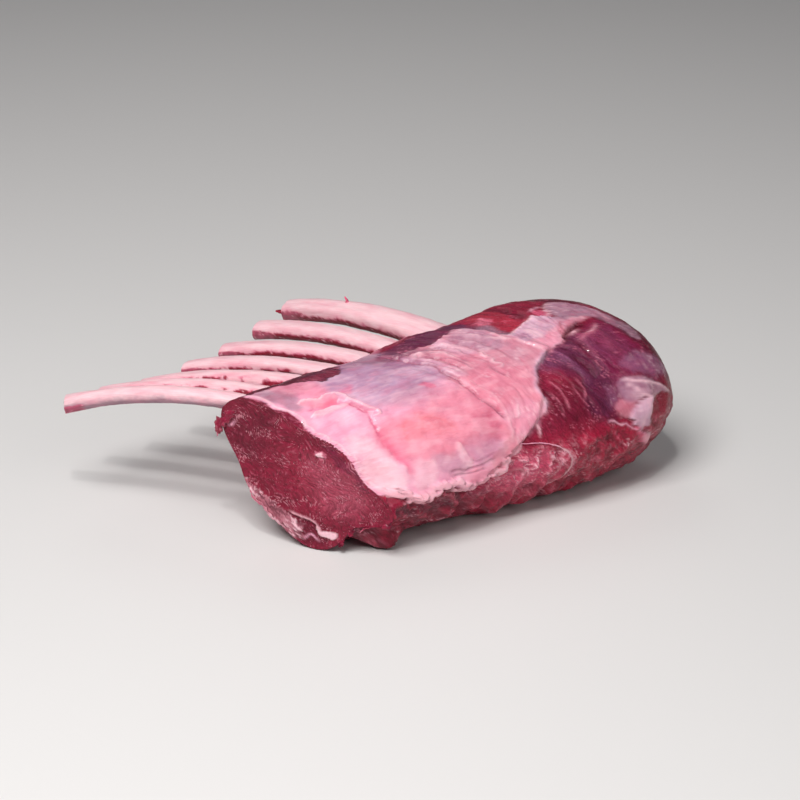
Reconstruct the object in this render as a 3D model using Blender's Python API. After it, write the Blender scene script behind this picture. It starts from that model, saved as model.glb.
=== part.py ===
"""Rack of venison, raw and French trimmed, lying with its outer side up.

One loin of meat, cut square to the ribs at the near end and rounded off at the
far end, with seven rib bones that leave it on the +Y side.  The loin is lofted
from a few named stations; each bone is an arc swept with a flattened oval
section.  Lengths are in metres once the shapes leave the helper functions; the
driving sizes below are in millimetres.
"""
import math

import bmesh
import bpy
import numpy as np

MM = 0.001
CLEARANCE = 0.35            # gap between a bone and the meat round it

# --- loin -------------------------------------------------------------------
LOIN_STRAIGHT = 144.0       # length along the rack before the far end rounds off
LOIN_END = 53.0             # length of the rounded far end
END_BLUNTNESS = 0.56        # lower is blunter
END_LIFT = 4.0              # the far tip sits this much above the section centre
CUT_EDGE = 1.6              # softened rim of the cut face
CUT_DISH = 1.6              # the cut face is drawn in by this much at its middle
STATION_SLANT = ((0.0, 35.0), (160.0, 20.0), (240.0, 15.0))   # along, degrees

# Along the rack; section centre (Y, Z); core radius; then three swellings of the
# section, each as size, direction (degrees from +Y, turning up) and spread:
# the ridge above the bones, the outer flank, and the underside it stands on.
STATIONS = (
    # along  cy    cz   core   ridge           flank            underside
    (0.0, 12.0, 38.0, 25.0, 22.0, 51.0, 27.0, 17.0, 200.0, 19.0, 13.0, 256.0, 29.0),
    (35.0, 12.0, 41.0, 32.0, 14.0, 50.0, 23.0, 13.0, 209.0, 51.0, 14.0, 314.0, 55.0),
    (70.0, 12.0, 43.0, 35.0, 9.0, 45.0, 25.0, 12.0, 206.0, 60.0, 13.0, 310.0, 58.0),
    (105.0, 12.0, 44.0, 39.0, 9.5, 47.0, 30.0, 13.0, 196.0, 50.0, 11.0, 302.0, 60.0),
    (140.0, 10.0, 45.0, 44.5, 7.5, 57.0, 27.0, 8.0, 197.0, 51.0, 6.0, 298.0, 36.0),
)
RINGS_STRAIGHT = 45
RINGS_END = 12
ROUND_POINTS = 64

# --- relief of the loin -----------------------------------------------------
COVER_STEP = 1.8            # the fat cover stands this proud of the bare muscle
COVER_EDGE = ((45.0, 100.0), (75.0, 111.0), (110.0, 121.0), (120.0, 123.0), (130.0, 109.0),
              (150.0, 99.0), (162.0, 90.0), (175.0, 76.0), (192.0, 48.0))   # direction, along
UNDERCUT = 3.2              # the trimmed foot of the flank stands back under the cover
UNDERCUT_FROM = 190.0       # direction where the foot starts
UNDERCUT_END = 75.0         # along
RAGGED = ((1.4, 0.36, 0.0), (0.9, 0.83, 1.0))   # lean scraps on the foot: size, radians per mm, start
RAGGED_AT = 222.0
WAVE = (0.7, 0.085, 0.6)    # long shallow waves of the fillet: size, radians per mm, start

# Single forms: size, distance along and its spread, direction and its spread,
# and how far each leans along the rack for each degree round it.
FORMS = (
    (11.5, 14.0, 8.0, 235.0, 9.0, 0.0),     # loose scrap at the foot of the cut face
    (1.5, 27.0, 3.2, 96.0, 18.0, 0.0),      # rolled edge of the membrane
    (-1.0, 17.0, 2.6, 152.0, 24.0, 0.0),    # furrow that runs on from the rolled edge
    (-1.2, 71.0, 3.0, 115.0, 45.0, 0.0),    # crease where the second layer of cover starts
    (2.8, 153.0, 7.0, 171.0, 12.0, 0.0),    # tendon flap folded over near the far end
    (-2.6, 136.0, 9.0, 160.0, 17.0, 0.0),   # hollow before that flap
    (-2.0, 149.0, 14.0, 109.0, 5.0, 0.0),   # split between the far muscle and the cap over it
)

# --- bones ------------------------------------------------------------------
BONE_PITCH = 21.5
FIRST_BONE = 8.5            # middle of the first bone from the cut face
BONE_SLANT = (35.0, 33.0, 31.0, 28.0, 25.0, 22.0, 19.0)
BONE_CREST = (62.0, 64.0, 62.0, 66.0, 76.0, 94.0, 100.0)      # reach of its highest point
BONE_HEIGHT = (70.6, 66.8, 66.3, 65.4, 63.9, 61.6, 64.4)      # height of that point
BONE_BEND = (231.0, 254.0, 238.0, 256.0, 255.0, 269.0, 266.0)  # bend radius
BONE_ROOT = 36.0            # reach of the end held in the meat
BONE_TIP = (150.0, 155.0, 155.5, 155.0, 159.5, 164.0, 173.5)  # reach of the sawn end
BONE_WIDTH = ((9.6, 9.5, 9.8), (12.0, 10.0, 9.5), (12.0, 11.0, 10.0), (12.0, 11.0, 10.0),
              (13.0, 12.0, 11.0), (15.0, 13.5, 12.0), (25.0, 18.5, 12.0))
BONE_DEPTH = ((8.5, 8.0, 9.2), (8.5, 7.5, 8.0), (8.5, 7.5, 8.0), (8.5, 7.5, 8.0),
              (9.0, 7.5, 8.0), (9.5, 8.0, 8.5), (12.5, 10.2, 9.0))
BONE_RINGS = 15
BONE_POINTS = 14
SAWN_EDGE = 0.8             # worn edge of the sawn end

# The shapes above are set out from the low corner of the cut face; the part's
# origin is the middle of its underside.
ORIGIN = (59.2, 62.4, 0.0)

COLOURS = {
    "meat": (0.235, 0.035, 0.052),
    "bone": (0.72, 0.50, 0.47),
}


def clear_scene():
    """Remove everything the open file holds."""
    for item in list(bpy.data.objects):
        bpy.data.objects.remove(item, do_unlink=True)


def eased(knots, values, at):
    """Value at `at` of the smooth curve through (knots, values)."""
    knots = np.asarray(knots, float)
    values = np.asarray(values, float)
    slopes = np.gradient(values, knots)
    at = np.clip(at, knots[0], knots[-1])
    i = np.clip(np.searchsorted(knots, at, side="right") - 1, 0, len(knots) - 2)
    span = knots[i + 1] - knots[i]
    t = (at - knots[i]) / span
    return ((2 * t**3 - 3 * t**2 + 1) * values[i] + (t**3 - 2 * t**2 + t) * span * slopes[i]
            + (3 * t**2 - 2 * t**3) * values[i + 1] + (t**3 - t**2) * span * slopes[i + 1])


def bump(offset, spread):
    """Soft hill, 1 at no offset."""
    return np.exp(-(offset / spread) ** 2)


def turn(a, b):
    """Signed angle from b to a, in degrees."""
    return (a - b + 180.0) % 360.0 - 180.0


def step(x):
    """Smooth rise from 0 to 1 as x goes from 0 to 1."""
    x = np.clip(x, 0.0, 1.0)
    return x * x * (3.0 - 2.0 * x)


def relief(along, angle):
    """Height in mm of folds and swellings over the plain loft."""
    edge_at, edge_along = zip(*COVER_EDGE)
    covered = step((np.interp(angle, edge_at, edge_along) + 3.0 - along) / 6.0)
    outer = step((angle - 35.0) / 15.0) * step((222.0 - angle) / 12.0)
    height = COVER_STEP * (covered - 1.0) * outer

    foot = step((angle - UNDERCUT_FROM) / 10.0) * step((262.0 - angle) / 20.0)
    height = height - UNDERCUT * foot * step((UNDERCUT_END - along) / 25.0) * step(along / 5.0)
    ragged = bump(turn(angle, RAGGED_AT), 14.0) * step((along - 20.0) / 20.0)
    ragged = ragged * step((LOIN_STRAIGHT + 6.0 - along) / 20.0)
    for size, rate, start in RAGGED:
        height = height + size * ragged * np.sin(along * rate + start)

    for size, at, spread, direction, width, lean in FORMS:
        away = turn(angle, direction)
        height = height + size * bump(along - at - lean * away, spread) * bump(away, width)
    size, rate, start = WAVE
    return height + size * np.sin(along * rate + start) * np.sin(np.radians(angle) * 3.0)


def loin_point(along, angle, scale=1.0):
    """Point in mm of the loin's skin: distance along the rack, angle in degrees, size of the section."""
    rows = np.array(STATIONS)
    cy, cz, core, *swell = (eased(rows[:, 0], rows[:, k], along) for k in range(1, rows.shape[1]))
    radius = core
    for k in range(0, 9, 3):
        radius = radius + swell[k] * bump(turn(angle, swell[k + 1]), swell[k + 2])
    radius = (radius + relief(along, angle)) * scale
    theta = math.radians(angle)
    y = cy + radius * math.cos(theta)
    z = max(cz + END_LIFT * (1.0 - scale) + radius * math.sin(theta), 0.0)
    where, slant = zip(*STATION_SLANT)
    x = along - math.tan(math.radians(np.interp(along, where, slant))) * y
    return np.array((x, y, z))


def loft(name, rings, first, last, material):
    """Closed body through rings of points, shut by a middle point at each end."""
    mesh = bpy.data.meshes.new(name)
    bm = bmesh.new()
    rows = [[bm.verts.new(tuple((p - np.array(ORIGIN)) * MM)) for p in ring] for ring in rings]
    for near, far in zip(rows, rows[1:]):
        for j in range(len(near)):
            k = (j + 1) % len(near)
            bm.faces.new((near[j], near[k], far[k], far[j]))
    for row, middle in ((rows[0], first), (rows[-1], last)):
        tip = bm.verts.new(tuple((middle - np.array(ORIGIN)) * MM))
        for j in range(len(row)):
            bm.faces.new((row[j], row[(j + 1) % len(row)], tip))
    bmesh.ops.triangulate(bm, faces=bm.faces[:])
    bmesh.ops.recalc_face_normals(bm, faces=bm.faces[:])
    bm.to_mesh(mesh)
    bm.free()
    mesh.shade_smooth()
    mesh.set_sharp_from_angle(angle=math.radians(50.0))
    mesh.materials.append(material)
    piece = bpy.data.objects.new(name, mesh)
    bpy.context.scene.collection.objects.link(piece)
    return piece


def build_loin(material):
    """The meat: cut face, straight run and rounded far end as one body."""
    angles = np.linspace(0.0, 360.0, ROUND_POINTS, endpoint=False)
    rings = []
    middle = np.array((-math.tan(math.radians(STATION_SLANT[0][1])) * STATIONS[0][1],
                       STATIONS[0][1], STATIONS[0][2]))
    drawn_in = np.array((1.0, 0.0, 0.0))
    rim = [loin_point(0.0, a) for a in angles]
    for share in (0.3, 0.6, 0.82):
        dish = CUT_DISH * (1.0 - share) ** 0.5
        rings.append([middle + (p - middle) * share + drawn_in * dish for p in rim])
    rings.append([middle + (p - middle) * (1.0 - CUT_EDGE / 40.0) for p in rim])
    for along in np.linspace(CUT_EDGE, LOIN_STRAIGHT, RINGS_STRAIGHT):
        rings.append([loin_point(along, a) for a in angles])
    for k in range(1, RINGS_END + 1):
        swing = 0.5 * math.pi * k / (RINGS_END + 0.6)
        along = LOIN_STRAIGHT + LOIN_END * math.sin(swing)
        rings.append([loin_point(along, a, math.cos(swing) ** END_BLUNTNESS) for a in angles])
    tip = loin_point(LOIN_STRAIGHT + LOIN_END, 180.0, 0.0)
    return loft("loin", rings, middle + drawn_in * CUT_DISH, tip, material)


def bone_rings(index, extra=0.0):
    """Rings of one bone, from its root to its sawn end, grown by `extra` mm."""
    slant = math.radians(BONE_SLANT[index])
    out = np.array((-math.sin(slant), math.cos(slant), 0.0))
    side = np.array((math.cos(slant), math.sin(slant), 0.0))
    start = np.array((FIRST_BONE + BONE_PITCH * index, 0.0, 0.0))
    root = BONE_ROOT - extra
    shares = list(np.linspace(0.0, 1.0, BONE_RINGS))
    length = BONE_TIP[index] - root
    worn = 0.0 if extra else SAWN_EDGE
    shares[-1] = 1.0 - worn / length
    shares.append(1.0)
    rings = []
    for share in shares:
        reach = root + length * share
        fall = reach - BONE_CREST[index]
        height = BONE_HEIGHT[index] - fall * fall / (2.0 * BONE_BEND[index])
        normal = np.array((0.0, 0.0, 1.0)) + out * (fall / BONE_BEND[index])
        normal /= np.linalg.norm(normal)
        width = np.interp(share, (0.0, 0.5, 1.0), BONE_WIDTH[index]) / 2.0 + extra
        depth = np.interp(share, (0.0, 0.5, 1.0), BONE_DEPTH[index]) / 2.0 + extra
        if share == 1.0:
            width -= worn
            depth -= worn
        middle = start + out * reach + np.array((0.0, 0.0, height))
        ring = []
        for j in range(BONE_POINTS):
            t = 2.0 * math.pi * j / BONE_POINTS
            ring.append(middle + side * width * math.cos(t) + normal * depth * math.sin(t))
        rings.append(ring)
    return rings


def build_bone(name, index, material, extra=0.0):
    """One rib bone, or its grown twin that cuts the socket."""
    rings = bone_rings(index, extra)
    if extra:
        rings = rings[:8]
    first = np.mean(rings[0], axis=0)
    last = np.mean(rings[-1], axis=0)
    return loft(name, rings, first, last, material)


def principled(name, colour, roughness):
    """Principled BSDF with one base colour."""
    material = bpy.data.materials.new(name)
    material.use_nodes = True
    shader = material.node_tree.nodes["Principled BSDF"]
    shader.inputs["Base Color"].default_value = (*colour, 1.0)
    shader.inputs["Roughness"].default_value = roughness
    shader.inputs["Metallic"].default_value = 0.0
    return material


def build():
    """Model the loin and its bones."""
    clear_scene()
    loin = build_loin(principled("meat", COLOURS["meat"], 0.38))
    for index in range(len(BONE_TIP)):
        bone_finish = principled(f"bone_{index + 1}", COLOURS["bone"], 0.45)
        build_bone(f"rib_{index + 1}", index, bone_finish)
        socket = build_bone(f"socket_{index + 1}", index, bone_finish, CLEARANCE)
        socket.hide_render = True
        socket.display_type = "WIRE"
        cut = loin.modifiers.new(f"socket_{index + 1}", "BOOLEAN")
        cut.operation = "DIFFERENCE"
        cut.solver = "EXACT"
        cut.object = socket


build()
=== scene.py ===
"""Looks of a raw, French trimmed rack of venison that lies with its outer side up.

The meat is one skin lofted from a few named stations, worked over with folds,
seams and fibres, and a separate cut face.  The trimmed bones, the loose
membrane and the scraps the knife left are pieces of their own.
Sizes are in millimetres.  Places on the meat are given as distance along the
rack from the cut face and direction round it in degrees, counted from the side
the bones leave (+Y) and turning up over the top.
"""
import logging
import math
from dataclasses import dataclass
from enum import Enum
from functools import cached_property

import bpy
import numpy as np
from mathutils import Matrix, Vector


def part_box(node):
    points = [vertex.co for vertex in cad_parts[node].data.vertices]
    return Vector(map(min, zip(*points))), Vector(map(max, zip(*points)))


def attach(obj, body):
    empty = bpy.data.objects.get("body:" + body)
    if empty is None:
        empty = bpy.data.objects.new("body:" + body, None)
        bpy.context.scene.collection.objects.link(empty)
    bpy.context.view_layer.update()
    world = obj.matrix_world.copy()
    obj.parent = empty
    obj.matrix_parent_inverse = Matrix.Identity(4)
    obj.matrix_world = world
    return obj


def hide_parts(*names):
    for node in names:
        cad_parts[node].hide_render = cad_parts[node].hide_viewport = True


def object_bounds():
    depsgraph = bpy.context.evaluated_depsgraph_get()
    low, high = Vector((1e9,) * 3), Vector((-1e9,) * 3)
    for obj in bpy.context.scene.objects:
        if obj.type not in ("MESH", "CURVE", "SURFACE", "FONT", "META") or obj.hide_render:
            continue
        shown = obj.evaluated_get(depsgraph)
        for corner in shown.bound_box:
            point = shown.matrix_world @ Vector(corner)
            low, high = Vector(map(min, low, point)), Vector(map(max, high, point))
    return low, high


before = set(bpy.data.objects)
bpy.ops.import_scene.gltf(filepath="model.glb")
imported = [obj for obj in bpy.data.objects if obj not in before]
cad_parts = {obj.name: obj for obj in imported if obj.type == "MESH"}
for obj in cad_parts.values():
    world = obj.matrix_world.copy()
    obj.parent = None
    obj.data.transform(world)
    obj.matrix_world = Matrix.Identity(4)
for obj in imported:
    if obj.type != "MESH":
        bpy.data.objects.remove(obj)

CAD_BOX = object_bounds()
LOG = logging.getLogger("rack")
MM = 0.001
ARC = 0.75                  # millimetres of skin for each degree round the meat

Array = np.ndarray
Path = tuple[tuple[float, ...], ...]
Faces = list[tuple[int, ...]]
Source = bpy.types.Node | bpy.types.NodeSocket


# --- small tools ------------------------------------------------------------

def linear(colour: str) -> tuple[float, float, float, float]:
    """Turn an sRGB hex colour into linear light.

    Args:
        colour: Six hex digits with a leading #.

    Returns:
        Linear red, green and blue, and an alpha of 1.
    """
    parts = [int(colour[i:i + 2], 16) / 255.0 for i in (1, 3, 5)]
    lit = [c / 12.92 if c <= 0.04045 else ((c + 0.055) / 1.055) ** 2.4 for c in parts]
    return (*lit, 1.0)


def add(tree: bpy.types.NodeTree, kind: str, inputs: dict | None = None,
        **settings: object) -> bpy.types.Node:
    """Add one node with its settings, values and links.

    Args:
        tree: Node tree to add to.
        kind: Node type without its ShaderNode prefix.
        inputs: Values, nodes or their sockets, by input name or number.
        **settings: Properties of the node.

    Returns:
        The new node.
    """
    made = tree.nodes.new("ShaderNode" + kind)
    for name, value in settings.items():
        setattr(made, name, value)
    for name, value in (inputs or {}).items():
        if isinstance(value, bpy.types.Node):
            value = next(socket for socket in value.outputs if socket.enabled)
        if isinstance(value, bpy.types.NodeSocket):
            tree.links.new(value, made.inputs[name])
        else:
            made.inputs[name].default_value = value
    return made


def blank(name: str) -> bpy.types.Material:
    """New material with an empty node tree."""
    made = bpy.data.materials.new(name)
    made.use_nodes = True
    made.node_tree.nodes.clear()
    return made


def eased(knots: Array, values: Array, at: Array) -> Array:
    """Read a smooth curve through a few knots.

    Args:
        knots: Rising places of the knots.
        values: Value at each knot.
        at: Places to read.

    Returns:
        The curve's values.
    """
    slopes = np.gradient(values, knots)
    at = np.clip(at, knots[0], knots[-1])
    i = np.clip(np.searchsorted(knots, at, side="right") - 1, 0, len(knots) - 2)
    span = knots[i + 1] - knots[i]
    t = (at - knots[i]) / span
    return ((2 * t**3 - 3 * t**2 + 1) * values[i] + (t**3 - 2 * t**2 + t) * span * slopes[i]
            + (3 * t**2 - 2 * t**3) * values[i + 1] + (t**3 - t**2) * span * slopes[i + 1])


def bump(offset: Array, spread: float | Array) -> Array:
    """Soft hill, 1 at no offset."""
    return np.exp(-(offset / spread) ** 2)


def turn(a: Array, b: float) -> Array:
    """Signed angle from b to a, in degrees."""
    return (a - b + 180.0) % 360.0 - 180.0


def step(x: Array) -> Array:
    """Smooth rise from 0 to 1 as x goes from 0 to 1."""
    x = np.clip(x, 0.0, 1.0)
    return x * x * (3.0 - 2.0 * x)


def blend(low: Array, high: Array, share: Array | float) -> Array:
    """Rows between low and high by share."""
    return low + (high - low) * np.asarray(share)[..., None]


def noise(points: Array, size: float | tuple[float, ...], seed: int, octaves: int = 3) -> Array:
    """Smooth random field in about -1 to 1.

    Args:
        points: Places in mm, one row of two or three each.
        size: Width in mm of the field's largest lumps, one for each axis or one for all.
        seed: Number that fixes the field.
        octaves: How many times finer detail is added at half the size.

    Returns:
        One value for each place.
    """
    rng = np.random.default_rng(seed)
    shuffle = rng.permutation(256)
    lean = rng.normal(size=(256, 3))
    lean /= np.linalg.norm(lean, axis=1)[:, None]
    places = np.zeros((len(points), 3))
    places[:, :points.shape[1]] = points / np.asarray(size, float)
    total = np.zeros(len(points))
    share = 1.0
    for _ in range(octaves):
        cell = np.floor(places).astype(int)
        inner = places - cell
        fade = inner**3 * (inner * (inner * 6.0 - 15.0) + 10.0)
        value = np.zeros(len(points))
        for corner in np.ndindex(2, 2, 2):
            at = cell + corner
            pick = shuffle[(shuffle[(shuffle[at[:, 0] & 255] + at[:, 1]) & 255] + at[:, 2]) & 255]
            weight = np.prod(np.where(np.array(corner, bool), fade, 1.0 - fade), axis=1)
            value += weight * np.einsum("ij,ij->i", lean[pick], inner - corner)
        total += share * value * 1.6
        share *= 0.5
        places = places * 2.0 + 17.3
    return total


def swung(here: Array, cosine: float, sine: float) -> Array:
    """Turn coordinates round, to run with a slant.

    Args:
        here: Places, two coordinates each.
        cosine: Cosine of the turn.
        sine: Sine of the turn.

    Returns:
        Their turned coordinates.
    """
    x, y = here.T
    return np.stack([x * cosine - y * sine, x * sine + y * cosine], axis=1)


def ridges(field: Array, sharp: float) -> Array:
    """Narrow crests, 1 high, where a field crosses 0."""
    return 1.0 - np.abs(field) * sharp


def distance_to(path: Path | Array, here: Array, closed: bool = False) -> Array:
    """Distance in mm to a line of points.

    Args:
        path: Points of the line.
        here: Places asked about, in the same two coordinates.
        closed: Whether the last point joins the first.

    Returns:
        One distance for each place.
    """
    knots = np.array(path, float)
    ends = np.roll(knots, -1, axis=0)
    if not closed:
        knots, ends = knots[:-1], ends[:-1]
    best = np.full(len(here), np.inf)
    for a, b in zip(knots, ends):
        run = b - a
        share = np.clip(((here - a) @ run) / (run @ run), 0.0, 1.0)
        best = np.minimum(best, np.linalg.norm(here - a - share[:, None] * run, axis=1))
    return best


def rounded(path: Path | Array, closed: bool = False, cuts: int = 5) -> Path:
    """Draw a smooth curve through the points of a path.

    Args:
        path: Points of two or three coordinates.
        closed: Whether the last point joins the first.
        cuts: Points put on each stretch.

    Returns:
        Points of the curve.
    """
    knots = np.array(path, float)
    if closed:
        knots = np.vstack([knots[-1:], knots, knots[:2]])
    else:
        knots = np.vstack([2 * knots[0] - knots[1], knots, 2 * knots[-1] - knots[-2]])
    made = []
    for a, b, c, d in zip(knots, knots[1:], knots[2:], knots[3:]):
        for t in np.arange(cuts) / cuts:
            made.append(0.5 * (2 * b + (c - a) * t + (2 * a - 5 * b + 4 * c - d) * t**2
                               + (3 * b - a - 3 * c + d) * t**3))
    if not closed:
        made.append(knots[-2])
    return tuple(tuple(p) for p in made)


def within(outline: Path, here: Array, soft: float) -> Array:
    """How far inside a closed outline each place is.

    Args:
        outline: Corners of the outline.
        here: Places asked about, in the same two coordinates.
        soft: Width in mm over which the edge fades.

    Returns:
        0 outside to 1 inside.
    """
    inside = np.zeros(len(here), bool)
    for (x0, y0), (x1, y1) in zip(outline, outline[1:] + outline[:1]):
        crosses = (y0 > here[:, 1]) != (y1 > here[:, 1])
        reach = (x1 - x0) * (here[:, 1] - y0) / ((y1 - y0) or 1e-9) + x0
        inside ^= crosses & (here[:, 0] < reach)
    gap = distance_to(outline, here, closed=True) * np.where(inside, 1.0, -1.0)
    return step(gap / soft + 0.5)


def tube(rings: int, points: int, tip: int | None = None) -> Faces:
    """Faces of a tube of rings, that face out where each ring turns anticlockwise about its run.

    Args:
        rings: How many rings it has.
        points: How many points a ring has.
        tip: Number of the point that closes its far end, if one does.

    Returns:
        Corner numbers of each face.
    """
    made = []
    for start in range(0, (rings - 1) * points, points):
        for j in range(points):
            k = (j + 1) % points
            made.append((start + j, start + k, start + points + k, start + points + j))
    if tip is not None:
        last = (rings - 1) * points
        made += [(last + j, last + (j + 1) % points, tip) for j in range(points)]
    return made


def aside(turned: float, tilt: float) -> Vector:
    """Unit vector from the rack, turned right of its front and tilted up, in degrees."""
    a, e = math.radians(turned), math.radians(tilt)
    return Vector((math.sin(a) * math.cos(e), -math.cos(a) * math.cos(e), math.sin(e)))


def make_piece(name: str, points: Array, faces: Faces, marks: dict[str, Array],
               finish: bpy.types.Material, node: str = "loin") -> None:
    """Mesh and dress a piece, let it ride on the rack and report it.

    Args:
        name: Piece's name.
        points: Corners in millimetres, in the rack's own layout.
        faces: Corner numbers of each face.
        marks: Values stored at each corner: three numbers for a colour, or two for a lay.
        finish: Its material.
        node: Solid that it stands for.
    """
    mesh = bpy.data.meshes.new(name)
    mesh.from_pydata(((points - LAYOUT.origin) * MM).tolist(), [], faces)
    mesh.polygons.foreach_set("use_smooth", np.ones(len(mesh.polygons), bool))
    for label, values in marks.items():
        tinted = values.shape[1] == 3
        kind, member = ("FLOAT_COLOR", "color") if tinted else ("FLOAT_VECTOR", "vector")
        full = np.hstack([values, np.full((len(values), 1), float(tinted))])
        layer = mesh.attributes.new(label, kind, "POINT")
        layer.data.foreach_set(member, full.astype(np.float32).ravel())
    mesh.update()
    mesh.materials.append(finish)
    piece = bpy.data.objects.new(name, mesh)
    bpy.context.scene.collection.objects.link(piece)
    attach(piece, "root")
    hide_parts(node)
    LOG.info("%s: %d faces", name, len(mesh.polygons))


# --- tones and finishes -----------------------------------------------------

class Tone(Enum):
    """Colours of raw venison, its skin, fat and bone; some also paint shade and highlights onto it."""

    CLOT = "#3A0616"
    DEEP = "#551024"
    MUSCLE = "#86203A"
    FRESH = "#96243C"
    BRIGHT = "#A42E40"
    BLOOD = "#A61C3A"
    CRIMSON = "#8A0A28"
    WINE = "#7A2248"
    PLUM = "#5A2644"
    MAUVE = "#8E5678"
    LILAC = "#B294B0"
    ASH = "#957484"
    GREY_LILAC = "#B48EA0"
    BLUSH = "#F0AFC6"
    SALMON = "#F09AAB"
    ROSE = "#DC7C92"
    HOT = "#EC6C8C"
    FLUSH = "#C84C74"
    CORAL = "#F0848E"
    BEIGE = "#D896A4"
    PEARL = "#E2BFD2"
    CREAM = "#FAD6DC"
    FAT = "#F6C0CA"
    CREASE = "#8E4862"
    BONE = "#F2CBD0"
    BONE_PINK = "#E492A4"
    MARROW = "#C05A6A"

    @property
    def lit(self) -> Array:
        """Linear red, green and blue."""
        return np.array(linear(self.value)[:3])


def shaded(tree: bpy.types.NodeTree, colour: Source, pattern: Source, span: tuple[float, float],
           low: tuple[float, ...], high: tuple[float, ...] = (1.0, 1.0, 1.0)) -> bpy.types.Node:
    """Darken and lighten a colour by a pattern.

    Args:
        tree: Node tree to add to.
        colour: Colour to shade.
        pattern: Values that shade it.
        span: Values at which it is darkest and lightest.
        low: Share of red, green and blue kept where darkest.
        high: The same where lightest.

    Returns:
        The node that gives the shaded colour.
    """
    share = add(tree, "MapRange", {"Value": pattern, "From Min": span[0], "From Max": span[1]})
    factor = add(tree, "Mix", {0: share, 6: (*low, 1.0), 7: (*high, 1.0)}, data_type="RGBA")
    return add(tree, "Mix", {0: 1.0, 6: colour, 7: factor}, data_type="RGBA", blend_type="MULTIPLY")


@dataclass(frozen=True)
class MeatFinish:
    """Raw venison under its own silverskin, trimmed and torn by the knife, moist all over."""

    bundle: tuple[float, float] = (0.9, 5.0)    # width and run in mm of a bundle of fibres
    strand: tuple[float, float] = (0.8, 15.0)   # width and run of a strand in the skin
    fleck: tuple[float, float] = (0.45, 1.7)    # width and run of a fleck of fat
    fleck_tone: str = "#D48C9A"
    grit_mm: float = 0.9
    pool_mm: float = 6.0            # width of the wet and the drier places
    relief_mm: float = 0.35
    wet: float = 0.27               # roughness where juice stands
    dry: float = 0.46               # roughness where the air has dried it
    refraction: float = 1.38        # of watery tissue

    def make(self, name: str) -> bpy.types.Material:
        """Build the finish, which reads the tint, fabric and lay marked on a mesh.

        Args:
            name: Material's name.

        Returns:
            The material.
        """
        made = blank(name)
        tree = made.node_tree
        tint = add(tree, "Attribute", attribute_name="tint")
        fabric = add(tree, "SeparateColor", {0: add(tree, "Attribute", attribute_name="fabric")})
        cover, flecks = fabric.outputs[:2]
        lay = add(tree, "Attribute", attribute_name="lay").outputs["Vector"]
        place = add(tree, "TexCoord").outputs["Object"]
        fibre, strand, speck = (
            add(tree, "TexNoise", {
                "Vector": add(tree, "VectorMath", {0: lay, 1: (1.0 / width, 1.0 / run, 1.0)},
                              operation="MULTIPLY"),
                "Scale": 1.0, "Detail": detail, "Roughness": rough})
            for (width, run), detail, rough in ((self.bundle, 5.0, 0.62), (self.strand, 3.0, 0.5),
                                                (self.fleck, 2.0, 0.5)))
        grit, pool = (add(tree, "TexNoise", {"Vector": place, "Scale": 1.0 / (size * MM), "Detail": 3.0})
                      for size in (self.grit_mm, self.pool_mm))

        # muscle: dark bundles of fibre that catch the light singly, and flecks of fat between them
        muscle = shaded(tree, tint, fibre, (0.34, 0.66), (0.74, 0.62, 0.68), (1.25, 1.3, 1.28))
        muscle = shaded(tree, muscle, grit, (0.3, 0.7), (0.84, 0.78, 0.8), (1.15, 1.16, 1.16))
        rarest = add(tree, "MapRange", {"Value": flecks, "To Min": 0.80, "To Max": 0.50})
        over = add(tree, "Math", {0: speck, 1: rarest}, operation="SUBTRACT")
        shown = add(tree, "MapRange", {"Value": over, "From Max": 0.1, "To Max": 0.65})
        muscle = add(tree, "Mix", {0: shown, 6: muscle, 7: linear(self.fleck_tone)}, data_type="RGBA")

        # silverskin: milky and even, with long faint strands and thinner, redder places
        skin = shaded(tree, tint, strand, (0.32, 0.68), (0.95, 0.85, 0.88), (0.99, 0.95, 0.96))
        skin = shaded(tree, skin, pool, (0.3, 0.7), (0.90, 0.80, 0.84), (1.03, 1.02, 1.02))
        colour = add(tree, "Mix", {0: cover, 6: muscle, 7: skin}, data_type="RGBA")

        # juice stands in pools and breaks up the highlights; a thin coat of it gives the wet glint
        rough = add(tree, "MapRange", {"Value": pool, "From Min": 0.35, "From Max": 0.65,
                                       "To Min": self.wet, "To Max": self.dry})
        coarse = add(tree, "Math", {0: fibre, 1: 1.3, 2: grit}, operation="MULTIPLY_ADD")
        smooth = add(tree, "Math", {0: strand, 1: 0.55, 2: 0.6}, operation="MULTIPLY_ADD")
        height = add(tree, "Mix", {0: cover, 2: coarse, 3: smooth}, data_type="FLOAT")
        relief = add(tree, "Bump", {"Strength": 0.6, "Distance": self.relief_mm * MM, "Height": height})
        shader = add(tree, "BsdfPrincipled", {
            "Base Color": colour, "Roughness": rough, "Normal": relief,
            "IOR": self.refraction, "Specular IOR Level": 0.2,
            "Subsurface Weight": 0.12, "Subsurface Scale": 2.0 * MM,
            "Subsurface Radius": (1.0, 0.35, 0.3), "Coat Weight": 0.2, "Coat Roughness": 0.07})
        add(tree, "OutputMaterial", {"Surface": shader})
        return made


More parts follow.
